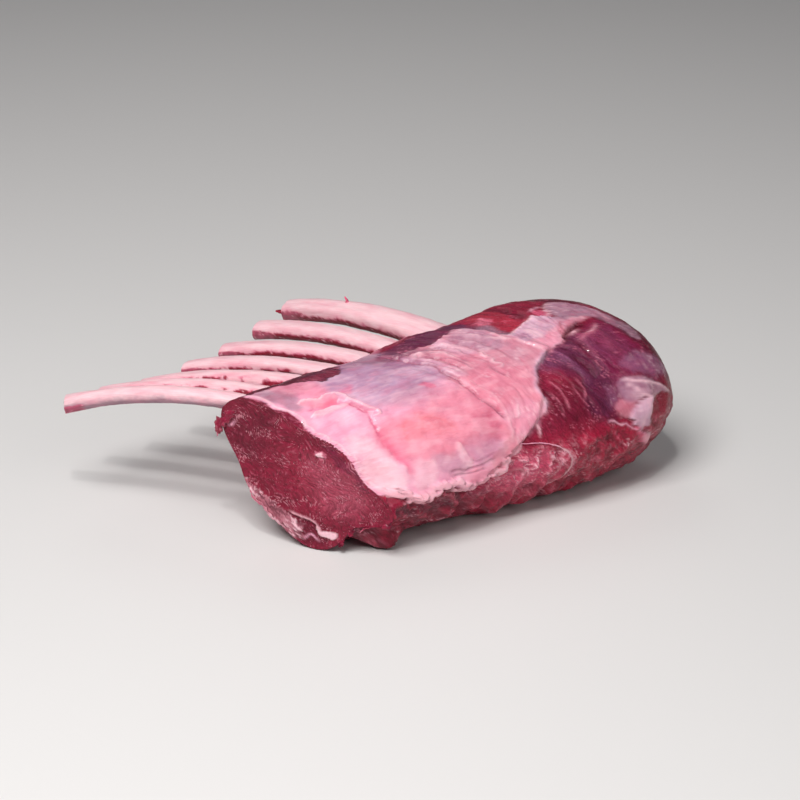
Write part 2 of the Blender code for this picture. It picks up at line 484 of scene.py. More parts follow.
@dataclass(frozen=True)
class BoneFinish:
    """Raw rib bone, scraped clean with a knife and still damp."""

    score: tuple[float, float] = (0.5, 9.0)     # width and run in mm of a knife score
    pore_mm: float = 0.6
    relief_mm: float = 0.2
    damp: float = 0.34              # roughness where it is dampest
    dry: float = 0.52               # roughness where it is driest
    refraction: float = 1.54        # of bone

    def make(self, name: str) -> bpy.types.Material:
        """Build the finish, which reads the tint and lay marked on a mesh.

        Args:
            name: Material's name.

        Returns:
            The material.
        """
        made = blank(name)
        tree = made.node_tree
        tint = add(tree, "Attribute", attribute_name="tint")
        lay = add(tree, "Attribute", attribute_name="lay").outputs["Vector"]
        place = add(tree, "TexCoord").outputs["Object"]
        # long knife scores, a little redder, over a satin surface with fine pores
        run = add(tree, "VectorMath", {0: lay, 1: (1.0 / self.score[0], 1.0 / self.score[1], 1.0)},
                  operation="MULTIPLY")
        scores = add(tree, "TexNoise", {"Vector": run, "Scale": 1.0, "Detail": 3.0})
        pores = add(tree, "TexNoise", {"Vector": place, "Scale": 1.0 / (self.pore_mm * MM), "Detail": 2.0})
        colour = shaded(tree, tint, scores, (0.3, 0.7), (0.9, 0.8, 0.82))
        rough = add(tree, "MapRange", {"Value": pores, "From Min": 0.3, "From Max": 0.7,
                                       "To Min": self.damp, "To Max": self.dry})
        height = add(tree, "Math", {0: scores, 1: pores}, operation="ADD")
        relief = add(tree, "Bump", {"Strength": 0.35, "Distance": self.relief_mm * MM, "Height": height})
        shader = add(tree, "BsdfPrincipled", {
            "Base Color": colour, "Roughness": rough, "Normal": relief, "IOR": self.refraction,
            "Specular IOR Level": 0.25, "Subsurface Weight": 0.12, "Subsurface Scale": 1.5 * MM,
            "Subsurface Radius": (1.0, 0.5, 0.4)})
        add(tree, "OutputMaterial", {"Surface": shader})
        return made


# --- marks on the meat ------------------------------------------------------

@dataclass(frozen=True)
class Mark:
    """Something that gives part of a surface a tone, relief and fabric of its own."""

    tone: Tone
    path: Path
    width: float = 1.0      # of a line, or of the soft edge of an area
    share: float = 1.0      # how much of its tone shows
    rise: float = 0.0       # how far it stands proud
    cover: float = 0.0      # 1 makes it skin, -1 bare muscle
    fleck: float = 0.0      # pale flecks added


class Patch(Mark):
    """Area inside an outline."""

    @property
    def margin(self) -> float:
        """How far past its path it can reach."""
        return self.width + 3.0

    def spread(self, path: Array, here: Array, stray: Array, fray: Array) -> Array:
        """How strongly it shows at each place.

        Args:
            path: Its path in mm.
            here: Places asked about.
            stray: Broad wander of its edge there.
            fray: Fine wander of its edge there.

        Returns:
            0 to 1 for each place.
        """
        wander = stray * min(2.0, 0.4 + self.width * 0.5) + fray * 0.5
        return within(rounded(path, True), here + wander, self.width)


class Streak(Mark):
    """Line such as a seam, a fold or a shred, which thins out towards its ends."""

    @property
    def margin(self) -> float:
        """How far past its path it can reach."""
        return self.width * 3.0 + 1.5

    def spread(self, path: Array, here: Array, stray: Array, fray: Array) -> Array:
        """How strongly it shows at each place.

        Args:
            path: Its path in mm.
            here: Places asked about.
            stray: Broad wander of the line there.
            fray: Fine wander of the line there.

        Returns:
            0 to 1 for each place.
        """
        here = here + (stray * 0.35 + fray * min(0.5, self.width * 0.4))
        share = bump(distance_to(rounded(path), here), self.width)
        for end in (path[0], path[-1]):
            share = share * (0.25 + 0.75 * step(np.linalg.norm(here - end, axis=1) / (self.width * 3.0)))
        return share


class Canvas:
    """Tint, fabric and relief of a surface while it is being worked over."""

    def __init__(self, here: Array, tone: Tone, unit: tuple[float, float] = (1.0, 1.0)) -> None:
        """Start a surface of one tone.

        Args:
            here: Places on the surface in mm, two coordinates each.
            tone: Tone it starts with.
            unit: Size in mm of the units that marks are given in.
        """
        self.here = here
        self.unit = unit
        self.tint = np.tile(tone.lit, (len(here), 1))
        self.fabric = np.zeros((len(here), 3))
        self.relief = np.zeros(len(here))
        self.stray = np.stack([noise(here, 7.0, 3), noise(here, 7.0, 4)], axis=1)
        self.fray = np.stack([noise(here, 1.8, 5, 2), noise(here, 1.8, 6, 2)], axis=1)

    @property
    def cover(self) -> Array:
        """How much of each place is skin."""
        return self.fabric[:, 0]

    def wash(self, tone: Tone, share: Array | float) -> None:
        """Blend a tone over everything by share."""
        self.tint = blend(self.tint, tone.lit, share)

    def weave(self, pattern: Array, where: Array, rise: float, low: tuple[Tone, Array | float, float, float],
              high: tuple[Tone, Array | float, float, float]) -> None:
        """Work in a pattern: relief, one tone in its hollows and one on its heights.

        Args:
            pattern: The pattern, about -1 to 1.
            where: How strongly it shows at each place.
            rise: Relief it gives.
            low: Tone of its hollows, its share, how fast it sets in and how late.
            high: The same of its heights.
        """
        self.relief += rise * where * pattern
        for sign, (tone, share, gain, late) in ((-1.0, low), (1.0, high)):
            self.wash(tone, share * where * step(sign * pattern * gain - late))

    def clothe(self, share: Array) -> None:
        """Make at least a share of each place skin."""
        self.fabric[:, 0] = np.maximum(self.fabric[:, 0], share)

    def lay(self, marks: tuple[Mark, ...]) -> None:
        """Work in marks, one over the other.

        Args:
            marks: The marks, lowest first.
        """
        for mark in marks:
            path = np.array(mark.path, float) * self.unit
            low, high = path.min(axis=0) - mark.margin, path.max(axis=0) + mark.margin
            near = np.flatnonzero(((self.here > low) & (self.here < high)).all(axis=1))
            share = mark.spread(path, self.here[near], self.stray[near], self.fray[near])
            self.tint[near] = blend(self.tint[near], mark.tone.lit, share * mark.share)
            self.relief[near] += mark.rise * share
            turned = float(mark.cover > 0) - self.fabric[near, 0]
            self.fabric[near, 0] += turned * share * abs(mark.cover)
            self.fabric[near, 1] += share * mark.fleck

    def stored(self, lay: Array) -> dict[str, Array]:
        """Values to store on the mesh, with the lay of its fibres."""
        return {"tint": np.clip(self.tint, 0.0, 1.0), "fabric": np.clip(self.fabric, 0.0, 1.0), "lay": lay}


# --- the meat ---------------------------------------------------------------

@dataclass(frozen=True)
class Layout:
    """Form of the meat without its fine relief, and its place in the frame.

    Each station holds: distance along, middle across and up, core radius, and size,
    direction and spread of the ridge, the flank and the underside.
    """

    stations: Path = (
        (0.0, 12.0, 38.0, 25.0, 22.0, 51.0, 27.0, 17.0, 200.0, 19.0, 13.0, 256.0, 29.0),
        (35.0, 12.0, 41.0, 32.0, 14.0, 50.0, 23.0, 13.0, 209.0, 51.0, 14.0, 314.0, 55.0),
        (70.0, 12.0, 43.0, 35.0, 9.0, 45.0, 25.0, 12.0, 206.0, 60.0, 13.0, 310.0, 58.0),
        (105.0, 12.0, 44.0, 39.0, 9.5, 47.0, 30.0, 13.0, 196.0, 50.0, 11.0, 302.0, 60.0),
        (140.0, 10.0, 45.0, 44.5, 7.5, 57.0, 27.0, 8.0, 197.0, 51.0, 6.0, 298.0, 36.0),
    )
    slants: Path = ((0.0, 35.0), (160.0, 20.0), (240.0, 15.0))     # distance along and degrees
    straight: float = 144.0         # where the far end starts to round off
    end: float = 53.0               # length of the rounded end
    bluntness: float = 0.56
    lift: float = 4.0               # how far the end's tip lies above the stations' middles
    cover_step: float = 1.8         # thickness of the skin and fat
    cover_edge: Path = ((45.0, 100.0), (75.0, 111.0), (110.0, 121.0), (120.0, 123.0), (130.0, 109.0),
                        (150.0, 99.0), (162.0, 90.0), (175.0, 76.0), (192.0, 48.0))
    undercut: float = 3.2           # how far the foot lies under the skin's lower edge
    undercut_from: float = 190.0
    undercut_end: float = 75.0
    ragged: Path = ((1.4, 0.36, 0.0), (0.9, 0.83, 1.0))     # size, rate and start of each wave
    ragged_at: float = 222.0
    wave: tuple[float, float, float] = (0.7, 0.085, 0.6)
    forms: Path = (     # size, distance along, spread, direction, width, lean
        (11.5, 14.0, 8.0, 235.0, 9.0, 0.0),
        (1.5, 27.0, 3.2, 96.0, 18.0, 0.0),
        (-1.0, 17.0, 2.6, 152.0, 24.0, 0.0),
        (-1.2, 71.0, 3.0, 115.0, 45.0, 0.0),
        (2.8, 153.0, 7.0, 171.0, 12.0, 0.0),
        (-2.6, 136.0, 9.0, 160.0, 17.0, 0.0),
        (-2.0, 149.0, 14.0, 109.0, 5.0, 0.0),
    )

    def rings(self, near: int, far: int) -> Array:
        """Distances along at which rings of points lie.

        Args:
            near: Rings of the straight run.
            far: Rings of the rounded end, the last of them at its tip.

        Returns:
            The distances, closer together towards the tip.
        """
        swing = np.linspace(0.0, math.pi / 2, far + 1)[1:]
        return np.concatenate([np.linspace(0.0, self.straight, near), self.straight + self.end * np.sin(swing)])

    def relief(self, along: Array, angle: Array) -> Array:
        """Large relief: the skin's edge, the undercut, the ragged foot and single forms.

        Args:
            along: Distances along the rack.
            angle: Directions round it.

        Returns:
            Height over the stations' form.
        """
        edge_at, edge_along = zip(*self.cover_edge)
        covered = step((np.interp(angle, edge_at, edge_along) + 3.0 - along) / 6.0)
        outer = step((angle - 35.0) / 15.0) * step((222.0 - angle) / 12.0)
        height = self.cover_step * (covered - 1.0) * outer
        foot = step((angle - self.undercut_from) / 10.0) * step((262.0 - angle) / 20.0)
        height = height - self.undercut * foot * step((self.undercut_end - along) / 25.0) * step(along / 5.0)
        ragged = bump(turn(angle, self.ragged_at), 14.0) * step((along - 20.0) / 20.0)
        ragged = ragged * step((self.straight + 6.0 - along) / 20.0)
        for size, rate, start in self.ragged:
            height = height + size * ragged * np.sin(along * rate + start)
        for size, at, spread, direction, width, lean in self.forms:
            away = turn(angle, direction)
            height = height + size * bump(along - at - lean * away, spread) * bump(away, width)
        size, rate, start = self.wave
        return height + size * np.sin(along * rate + start) * np.sin(np.radians(angle) * 3.0)

    def surface(self, along: Array, angle: Array, more: Array | float = 0.0) -> Array:
        """Points on the meat's outside, in the rack's own layout.

        Args:
            along: Distances along the rack, up to the far tip.
            angle: Directions round it.
            more: Relief to add to the smooth form.

        Returns:
            One row of three for each place.
        """
        table = np.array(self.stations)
        swing = np.arcsin(np.clip((along - self.straight) / self.end, 0.0, 1.0))
        scale = np.cos(swing) ** self.bluntness
        read = [eased(table[:, 0], column, along) for column in table.T[1:]]
        middle_y, middle_z, radius = read[:3]
        for size, direction, spread in (read[3:6], read[6:9], read[9:12]):
            radius = radius + size * bump(turn(angle, direction), spread)
        radius = (radius + self.relief(along, angle) + more) * scale
        y = middle_y + radius * np.cos(np.radians(angle))
        z = middle_z + self.lift * (1.0 - scale) + radius * np.sin(np.radians(angle))
        slant = np.tan(np.radians(np.interp(along, *zip(*self.slants))))
        return np.stack([along - slant * y, y, np.maximum(z, 0.0)], axis=-1)

    @cached_property
    def origin(self) -> Array:
        """Place of the frame's origin in the rack's own layout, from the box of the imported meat."""
        grid = np.meshgrid(self.rings(45, 11), np.linspace(0.0, 360.0, 64, endpoint=False), indexing="ij")
        points = self.surface(grid[0].ravel(), grid[1].ravel())
        low, high = (np.array(corner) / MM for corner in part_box("loin"))
        shift = (points.min(axis=0) + points.max(axis=0) - low - high) / 2.0
        return np.array([shift[0], shift[1], points[:, 2].min() - low[2]])


LAYOUT = Layout()

# Marks on the skin: their places are distances along the rack and directions round it.
FLESH: tuple[Mark, ...] = (
    Patch(Tone.PLUM, ((100, 128), (122, 118), (140, 116), (146, 128), (142, 150), (136, 172), (124, 178),
        (118, 168), (124, 148), (112, 136)), 8, 0.85),
    Patch(Tone.WINE, ((140, 118), (156, 108), (172, 110), (176, 140), (148, 156), (140, 150)), 7, 0.7),
    Patch(Tone.MAUVE, ((110, 124), (124, 120), (124, 134), (112, 136)), 4, 0.25),
    Patch(Tone.MAUVE, ((142, 118), (162, 116), (162, 138), (144, 140)), 7, 0.22),
    Patch(Tone.DEEP, ((168, 104), (178, 108), (188, 126), (184, 142), (172, 142), (168, 122)), 6, 0.7),
    Patch(Tone.FRESH, ((108, 136), (113, 132), (119, 138), (117, 154), (108, 156)), 6, 0.4, fleck=0.1),
    Patch(Tone.DEEP, ((104, 150), (124, 150), (122, 178), (100, 178)), 9, 0.4),
    Patch(Tone.PLUM, ((108, 50), (118, 52), (119, 94), (115, 96), (111, 72)), 4, 0.7),
    Patch(Tone.FRESH, ((118, 48), (150, 46), (160, 62), (150, 82), (130, 92), (119, 92)), 4, 0.7),
    Patch(Tone.BRIGHT, ((119, 66), (132, 60), (132, 90), (121, 90)), 4, 0.8),
    Patch(Tone.DEEP, ((133, 50), (137, 50), (137, 80), (133, 84)), 3, 0.7, -0.3),
    Patch(Tone.ROSE, ((118, 72), (125, 71), (123, 77), (118, 78)), 2.5, 0.6, 0.3),
    Patch(Tone.DEEP, ((150, 50), (176, 60), (182, 80), (166, 74), (156, 70)), 5, 0.8),
    Patch(Tone.FRESH, ((62, 196), (78, 178), (110, 172), (136, 182), (158, 202), (166, 218), (60, 218)), 8,
        0.6, fleck=0.06),
    Patch(Tone.BLOOD, ((62, 186), (84, 178), (110, 180), (140, 184), (140, 202), (84, 212), (62, 206)), 8,
        0.6, 0.5, fleck=0.07),
    Patch(Tone.DEEP, ((-3, 200), (40, 206), (60, 216), (130, 222), (130, 262), (-3, 262)), 9, 0.7,
        fleck=0.15),
    Patch(Tone.PLUM, ((14, 194), (60, 200), (58, 210), (12, 208)), 5, 0.45),
    Patch(Tone.FRESH, ((-2, 183), (8, 184), (10, 190), (4, 194), (-2, 194)), 2, 0.8, 0.3),
    Patch(Tone.BLOOD, ((154, 171), (176, 172), (182, 186), (170, 192), (154, 188)), 4, 0.9),
    Patch(Tone.CRIMSON, ((158, 172), (176, 168), (190, 172), (190, 190), (176, 198), (158, 192)), 4, 0.85),
    Patch(Tone.DEEP, ((155, 190), (176, 190), (186, 176), (190, 200), (160, 210)), 6, 0.7),
    Patch(Tone.DEEP, ((-2, 30), (48, 34), (50, 52), (34, 62), (28, 53), (-2, 53)), 2, 0.5),
    Patch(Tone.MAUVE, ((48, 40), (72, 44), (72, 58), (50, 56)), 4, 0.6, 0, 0.7),
)
BACK_SKIN: tuple[Mark, ...] = (
    # thin membrane on the side of the ribs, torn away in places, and a cuff round the root of each rib
    Patch(Tone.GREY_LILAC, ((6, -6), (30, -14), (70, -20), (118, -16), (140, 4), (146, 26), (120, 34),
        (60, 31), (4, 30)), 3, 0.55, 0.2, 0.8),
    Patch(Tone.PEARL, ((20, 2), (52, -4), (90, -8), (120, 6), (96, 18), (50, 14)), 6, 0.45, 0, 0.4),
    Patch(Tone.MUSCLE, ((36, -30), (52, -12), (58, 8), (50, 20), (42, 4)), 2, 0.7, -0.4, -0.9),
    Patch(Tone.MUSCLE, ((92, -34), (100, -14), (112, -4), (106, 12), (96, 0)), 2, 0.7, -0.4, -0.9),
    *(Patch(Tone.ROSE, ((at - 7, 40), (at - 3, 32), (at + 4, 32), (at + 8, 41), (at + 4, 50), (at - 3, 50)),
            3, 0.7, 0.5, 0.5) for at in np.arange(7) * 21.5 + 11.0),
    *(Patch(Tone.CRIMSON, ((at - 5, 36), (at, 30), (at + 5, 36), (at + 4, 46), (at - 4, 46)),
            3, 0.5, 0.6, -0.6) for at in np.arange(6) * 21.5 + 21.0),
)
COVER: tuple[Mark, ...] = (
    # near skin, from the cut to the main crease
    Patch(Tone.BLUSH, ((2, 57), (14, 59.5), (24, 61), (29, 64), (33, 67.5), (40, 67), (46, 64.5), (51, 58),
        (52, 44), (74, 48), (74, 160), (70, 180), (66, 187), (60, 193), (52, 198), (45, 200), (40, 195),
        (36, 191), (31, 189), (25, 190), (18, 192), (12, 190), (10, 185), (5, 182), (0, 182), (-1, 160),
        (-1, 125), (0.5, 98), (2.5, 90), (3.8, 84), (3.2, 77), (0.5, 72), (2, 66), (0.5, 60)), 0.7, 1, 0.35,
        1),
    # far skin, between the crease and its torn edge
    Patch(Tone.BEIGE, ((70, 66), (80, 67), (90, 71), (98, 71), (108, 70), (112, 80), (116, 92), (117, 100),
        (121, 112), (122, 119), (118, 122), (112, 126), (107, 130), (104, 136), (99, 142), (97, 148),
        (99, 153), (97, 158), (93, 162), (88, 166), (83, 169), (79, 174), (74, 181), (68, 185), (60, 190),
        (56, 180), (66, 171), (70, 158)), 0.9, 1, 0.3, 1),
)
NEAR_SKIN: tuple[Mark, ...] = (
    Patch(Tone.LILAC, ((28, 62), (50, 50), (73, 48), (74, 100), (60, 110), (42, 112), (30, 104)), 12, 0.9),
    Patch(Tone.MAUVE, ((44, 54), (58, 50), (60, 62), (46, 68)), 5, 0.5),
    Patch(Tone.MAUVE, ((60, 66), (72, 62), (73, 82), (64, 80)), 5, 0.5),
    Patch(Tone.ASH, ((58, 52), (72, 50), (72, 66), (60, 66)), 4, 0.7),
    Patch(Tone.GREY_LILAC, ((4, 61), (14, 61), (12, 78), (5, 76)), 4, 0.85),
    Patch(Tone.ASH, ((4, 54), (28, 54), (26, 64), (16, 69), (5, 68)), 4, 0.6),
    Patch(Tone.ROSE, ((12, 60), (24, 57), (30, 66), (26, 76), (16, 72)), 6, 0.6),
    Patch(Tone.GREY_LILAC, ((36, 108), (58, 104), (60, 124), (40, 122)), 9, 0.45),
    Patch(Tone.PEARL, ((58, 84), (68, 82), (70, 92), (64, 106), (60, 100)), 5, 0.55),
    Patch(Tone.PEARL, ((28, 88), (38, 86), (40, 100), (30, 112)), 6, 0.45),
    Patch(Tone.PEARL, ((13, 97), (22, 96), (22, 122), (15, 126)), 5, 0.5),
    Patch(Tone.SALMON, ((18, 128), (40, 126), (72, 122), (73, 162), (50, 168), (20, 166)), 11, 0.9),
    Patch(Tone.CORAL, ((25, 144), (30, 134), (44, 134), (48, 152), (32, 152)), 8, 0.5),
    Patch(Tone.CREAM, ((5, 130), (13, 128), (14, 178), (3, 180)), 7, 0.7),
    Patch(Tone.CREAM, ((1, 158), (12, 162), (13, 180), (2, 181)), 5, 0.6),
    Patch(Tone.ROSE, ((60, 150), (70, 146), (74, 160), (66, 168), (58, 162)), 5, 0.8),
    Patch(Tone.FLUSH, ((58, 152), (68, 149), (70, 160), (60, 162)), 4, 0.3),
    Patch(Tone.ROSE, ((33, 159), (46, 158), (46, 166), (35, 168)), 4, 0.55),
    Patch(Tone.GREY_LILAC, ((28, 167), (41, 168), (42, 180), (31, 180)), 4.5, 0.45),
    Patch(Tone.MAUVE, ((47, 164), (60, 162), (65, 172), (60, 179), (48, 178)), 6, 0.32),
    Patch(Tone.CREAM, ((42, 164), (45.5, 163), (46, 178), (42, 178)), 2, 0.55, 0.35),
    Patch(Tone.CREAM, ((19, 168), (28, 168), (27, 180), (17, 186)), 4, 0.5, 0.2),
    Patch(Tone.SALMON, ((40, 184), (60, 183), (60, 194), (48, 197)), 4, 0.6, 0.4),
    Patch(Tone.FAT, ((11, 187), (18, 187), (17, 191.5), (12, 191)), 1, 1, 1.4, 1),
    Patch(Tone.HOT, ((56, 108), (60, 107), (60.5, 114), (57, 115)), 2, 0.6),
    Patch(Tone.HOT, ((29, 80), (38, 79), (34, 84), (30, 86)), 3, 0.5),
    # bare muscle behind the edge of the near skin
    Patch(Tone.DEEP, ((-3, 46), (0, 55.5), (14, 58), (24, 59.5), (29, 63), (33, 67), (40, 66.5), (46, 64),
        (50, 58), (54, 48)), 0.8, 0.9, -0.5, -1),
    Patch(Tone.MUSCLE, ((30, 58), (34, 65), (42, 65), (44, 60)), 2, 0.5),
    # two lobes of loose skin
    Patch(Tone.SALMON, ((11.3, 75), (15, 74), (19, 76.5), (23, 77), (27, 80), (26, 84), (18, 85), (14, 81)),
        0.9, 0.7, 0.7, 1),
    Patch(Tone.CREAM, ((9.3, 86.5), (13, 85), (18, 86), (23, 89), (25, 95), (19, 91.5), (13, 89.5)), 0.9,
        0.6, 0.6, 1),
)
FAR_SKIN: tuple[Mark, ...] = (
    Patch(Tone.SALMON, ((73, 116), (90, 120), (103, 126), (102, 138), (92, 160), (76, 174), (66, 182),
        (71, 150)), 8, 0.8),
    Patch(Tone.ROSE, ((79, 94), (92, 96), (94, 126), (82, 134)), 7, 0.4),
    Patch(Tone.BLUSH, ((72, 152), (90, 150), (90, 166), (74, 172)), 5, 0.45),
    Patch(Tone.PLUM, ((70, 58), (112, 56), (114, 70), (98, 70), (88, 70), (76, 70), (71, 72)), 3, 0.8),
    # painted shadow along the arc of a fold
    Patch(Tone.ASH, ((78, 69), (86, 71), (92, 78), (88, 79), (82, 73)), 2.5, 0.6, -0.3),
    Patch(Tone.GREY_LILAC, ((98, 76), (110, 74), (112, 90), (106, 104), (99, 100)), 4, 0.8),
    Patch(Tone.GREY_LILAC, ((104, 100), (110, 98), (112, 116), (105, 122)), 4, 0.35),
    Patch(Tone.PEARL, ((74, 84), (79, 84), (78, 112), (73.5, 113)), 2.5, 0.4, 0.5),
    Patch(Tone.PEARL, ((90, 74), (96, 73), (97, 98), (91, 96)), 3.5, 0.5, 0.3),
    Patch(Tone.ASH, ((112, 78), (119, 80), (119, 95), (115, 98)), 3, 0.7),
)
END_SKIN: tuple[Mark, ...] = (
    Patch(Tone.PEARL, ((115.5, 99), (118, 96), (122, 94), (129, 92), (134, 90), (138, 87), (141, 92),
        (146, 97), (142, 102), (138, 107), (135, 113), (131, 118), (122, 120), (118, 116)), 1, 0.95, 0.6,
        1),
    Patch(Tone.GREY_LILAC, ((116, 98), (146, 90), (140, 104), (119, 116)), 5, 0.3),
    Patch(Tone.MAUVE, ((117, 102), (124, 101), (124, 111), (118, 113)), 3, 0.5),
    Patch(Tone.SALMON, ((118, 110), (134, 106), (142, 101), (150, 101), (140, 110), (132, 118), (119, 120)),
        3, 0.7),
    Patch(Tone.CREAM, ((124, 98), (128, 100), (129, 107), (125, 106)), 2, 0.6, 0.3),
    Patch(Tone.HOT, ((140, 84), (147, 83), (148, 88), (142, 93)), 2, 0.6, -0.3),
    Patch(Tone.GREY_LILAC, ((146, 97), (148, 90), (152, 82), (158, 76), (164, 76), (174, 84), (177, 104),
        (168, 102), (160, 100), (150, 104), (142, 106)), 2, 0.85, 0.3, 0.9),
    Patch(Tone.SALMON, ((140, 106), (148, 101), (160, 99), (163, 102), (152, 104), (142, 109)), 1.6, 0.65,
        0.2, 0.9),
    Patch(Tone.ASH, ((168, 102), (177, 104), (181, 124), (176, 132), (171, 124)), 3, 0.8, 0, 0.8),
    Patch(Tone.MAUVE, ((148, 146), (158, 141), (168, 142), (179, 148), (186, 160), (172, 161), (156, 155)),
        5, 0.8, 0, 0.6),
    Patch(Tone.GREY_LILAC, ((142, 157), (147, 153), (152, 156), (160, 159), (168, 164), (174, 171),
        (166, 170), (157, 170), (150, 168), (145, 171), (142, 168)), 2, 0.75, 0.7, 1),
    # painted shade in the hollow beside the pale flap
    Patch(Tone.MAUVE, ((136, 158), (146, 154), (146, 168), (138, 172), (132, 168)), 6, 0.4, -0.6, 0.4),
    Patch(Tone.SALMON, ((137, 169), (146, 169), (144, 177), (137, 178)), 3.5, 0.45, -0.2, 0.8),
    Patch(Tone.PEARL, ((146, 172), (151, 169), (156, 170), (153.5, 176), (154.5, 187), (150, 186),
        (148, 188.5), (144, 185), (141, 184.5), (143, 181), (140.5, 179)), 0.8, 0.85, 1.1, 1),
    Patch(Tone.GREY_LILAC, ((141, 176), (148, 174), (148, 188), (142, 186)), 2.5, 0.35),
    Patch(Tone.MAUVE, ((144, 156), (153, 157), (160, 161), (156, 166), (146, 165)), 3, 0.35),
    Patch(Tone.HOT, ((142, 186), (150, 189), (158, 195), (160, 202), (154, 201), (147, 193)), 2, 0.85, 1.4,
        0.8),
    Patch(Tone.FAT, ((150, 191), (157, 192), (160, 200), (155, 200)), 2, 0.7, 0.5, 1),
)
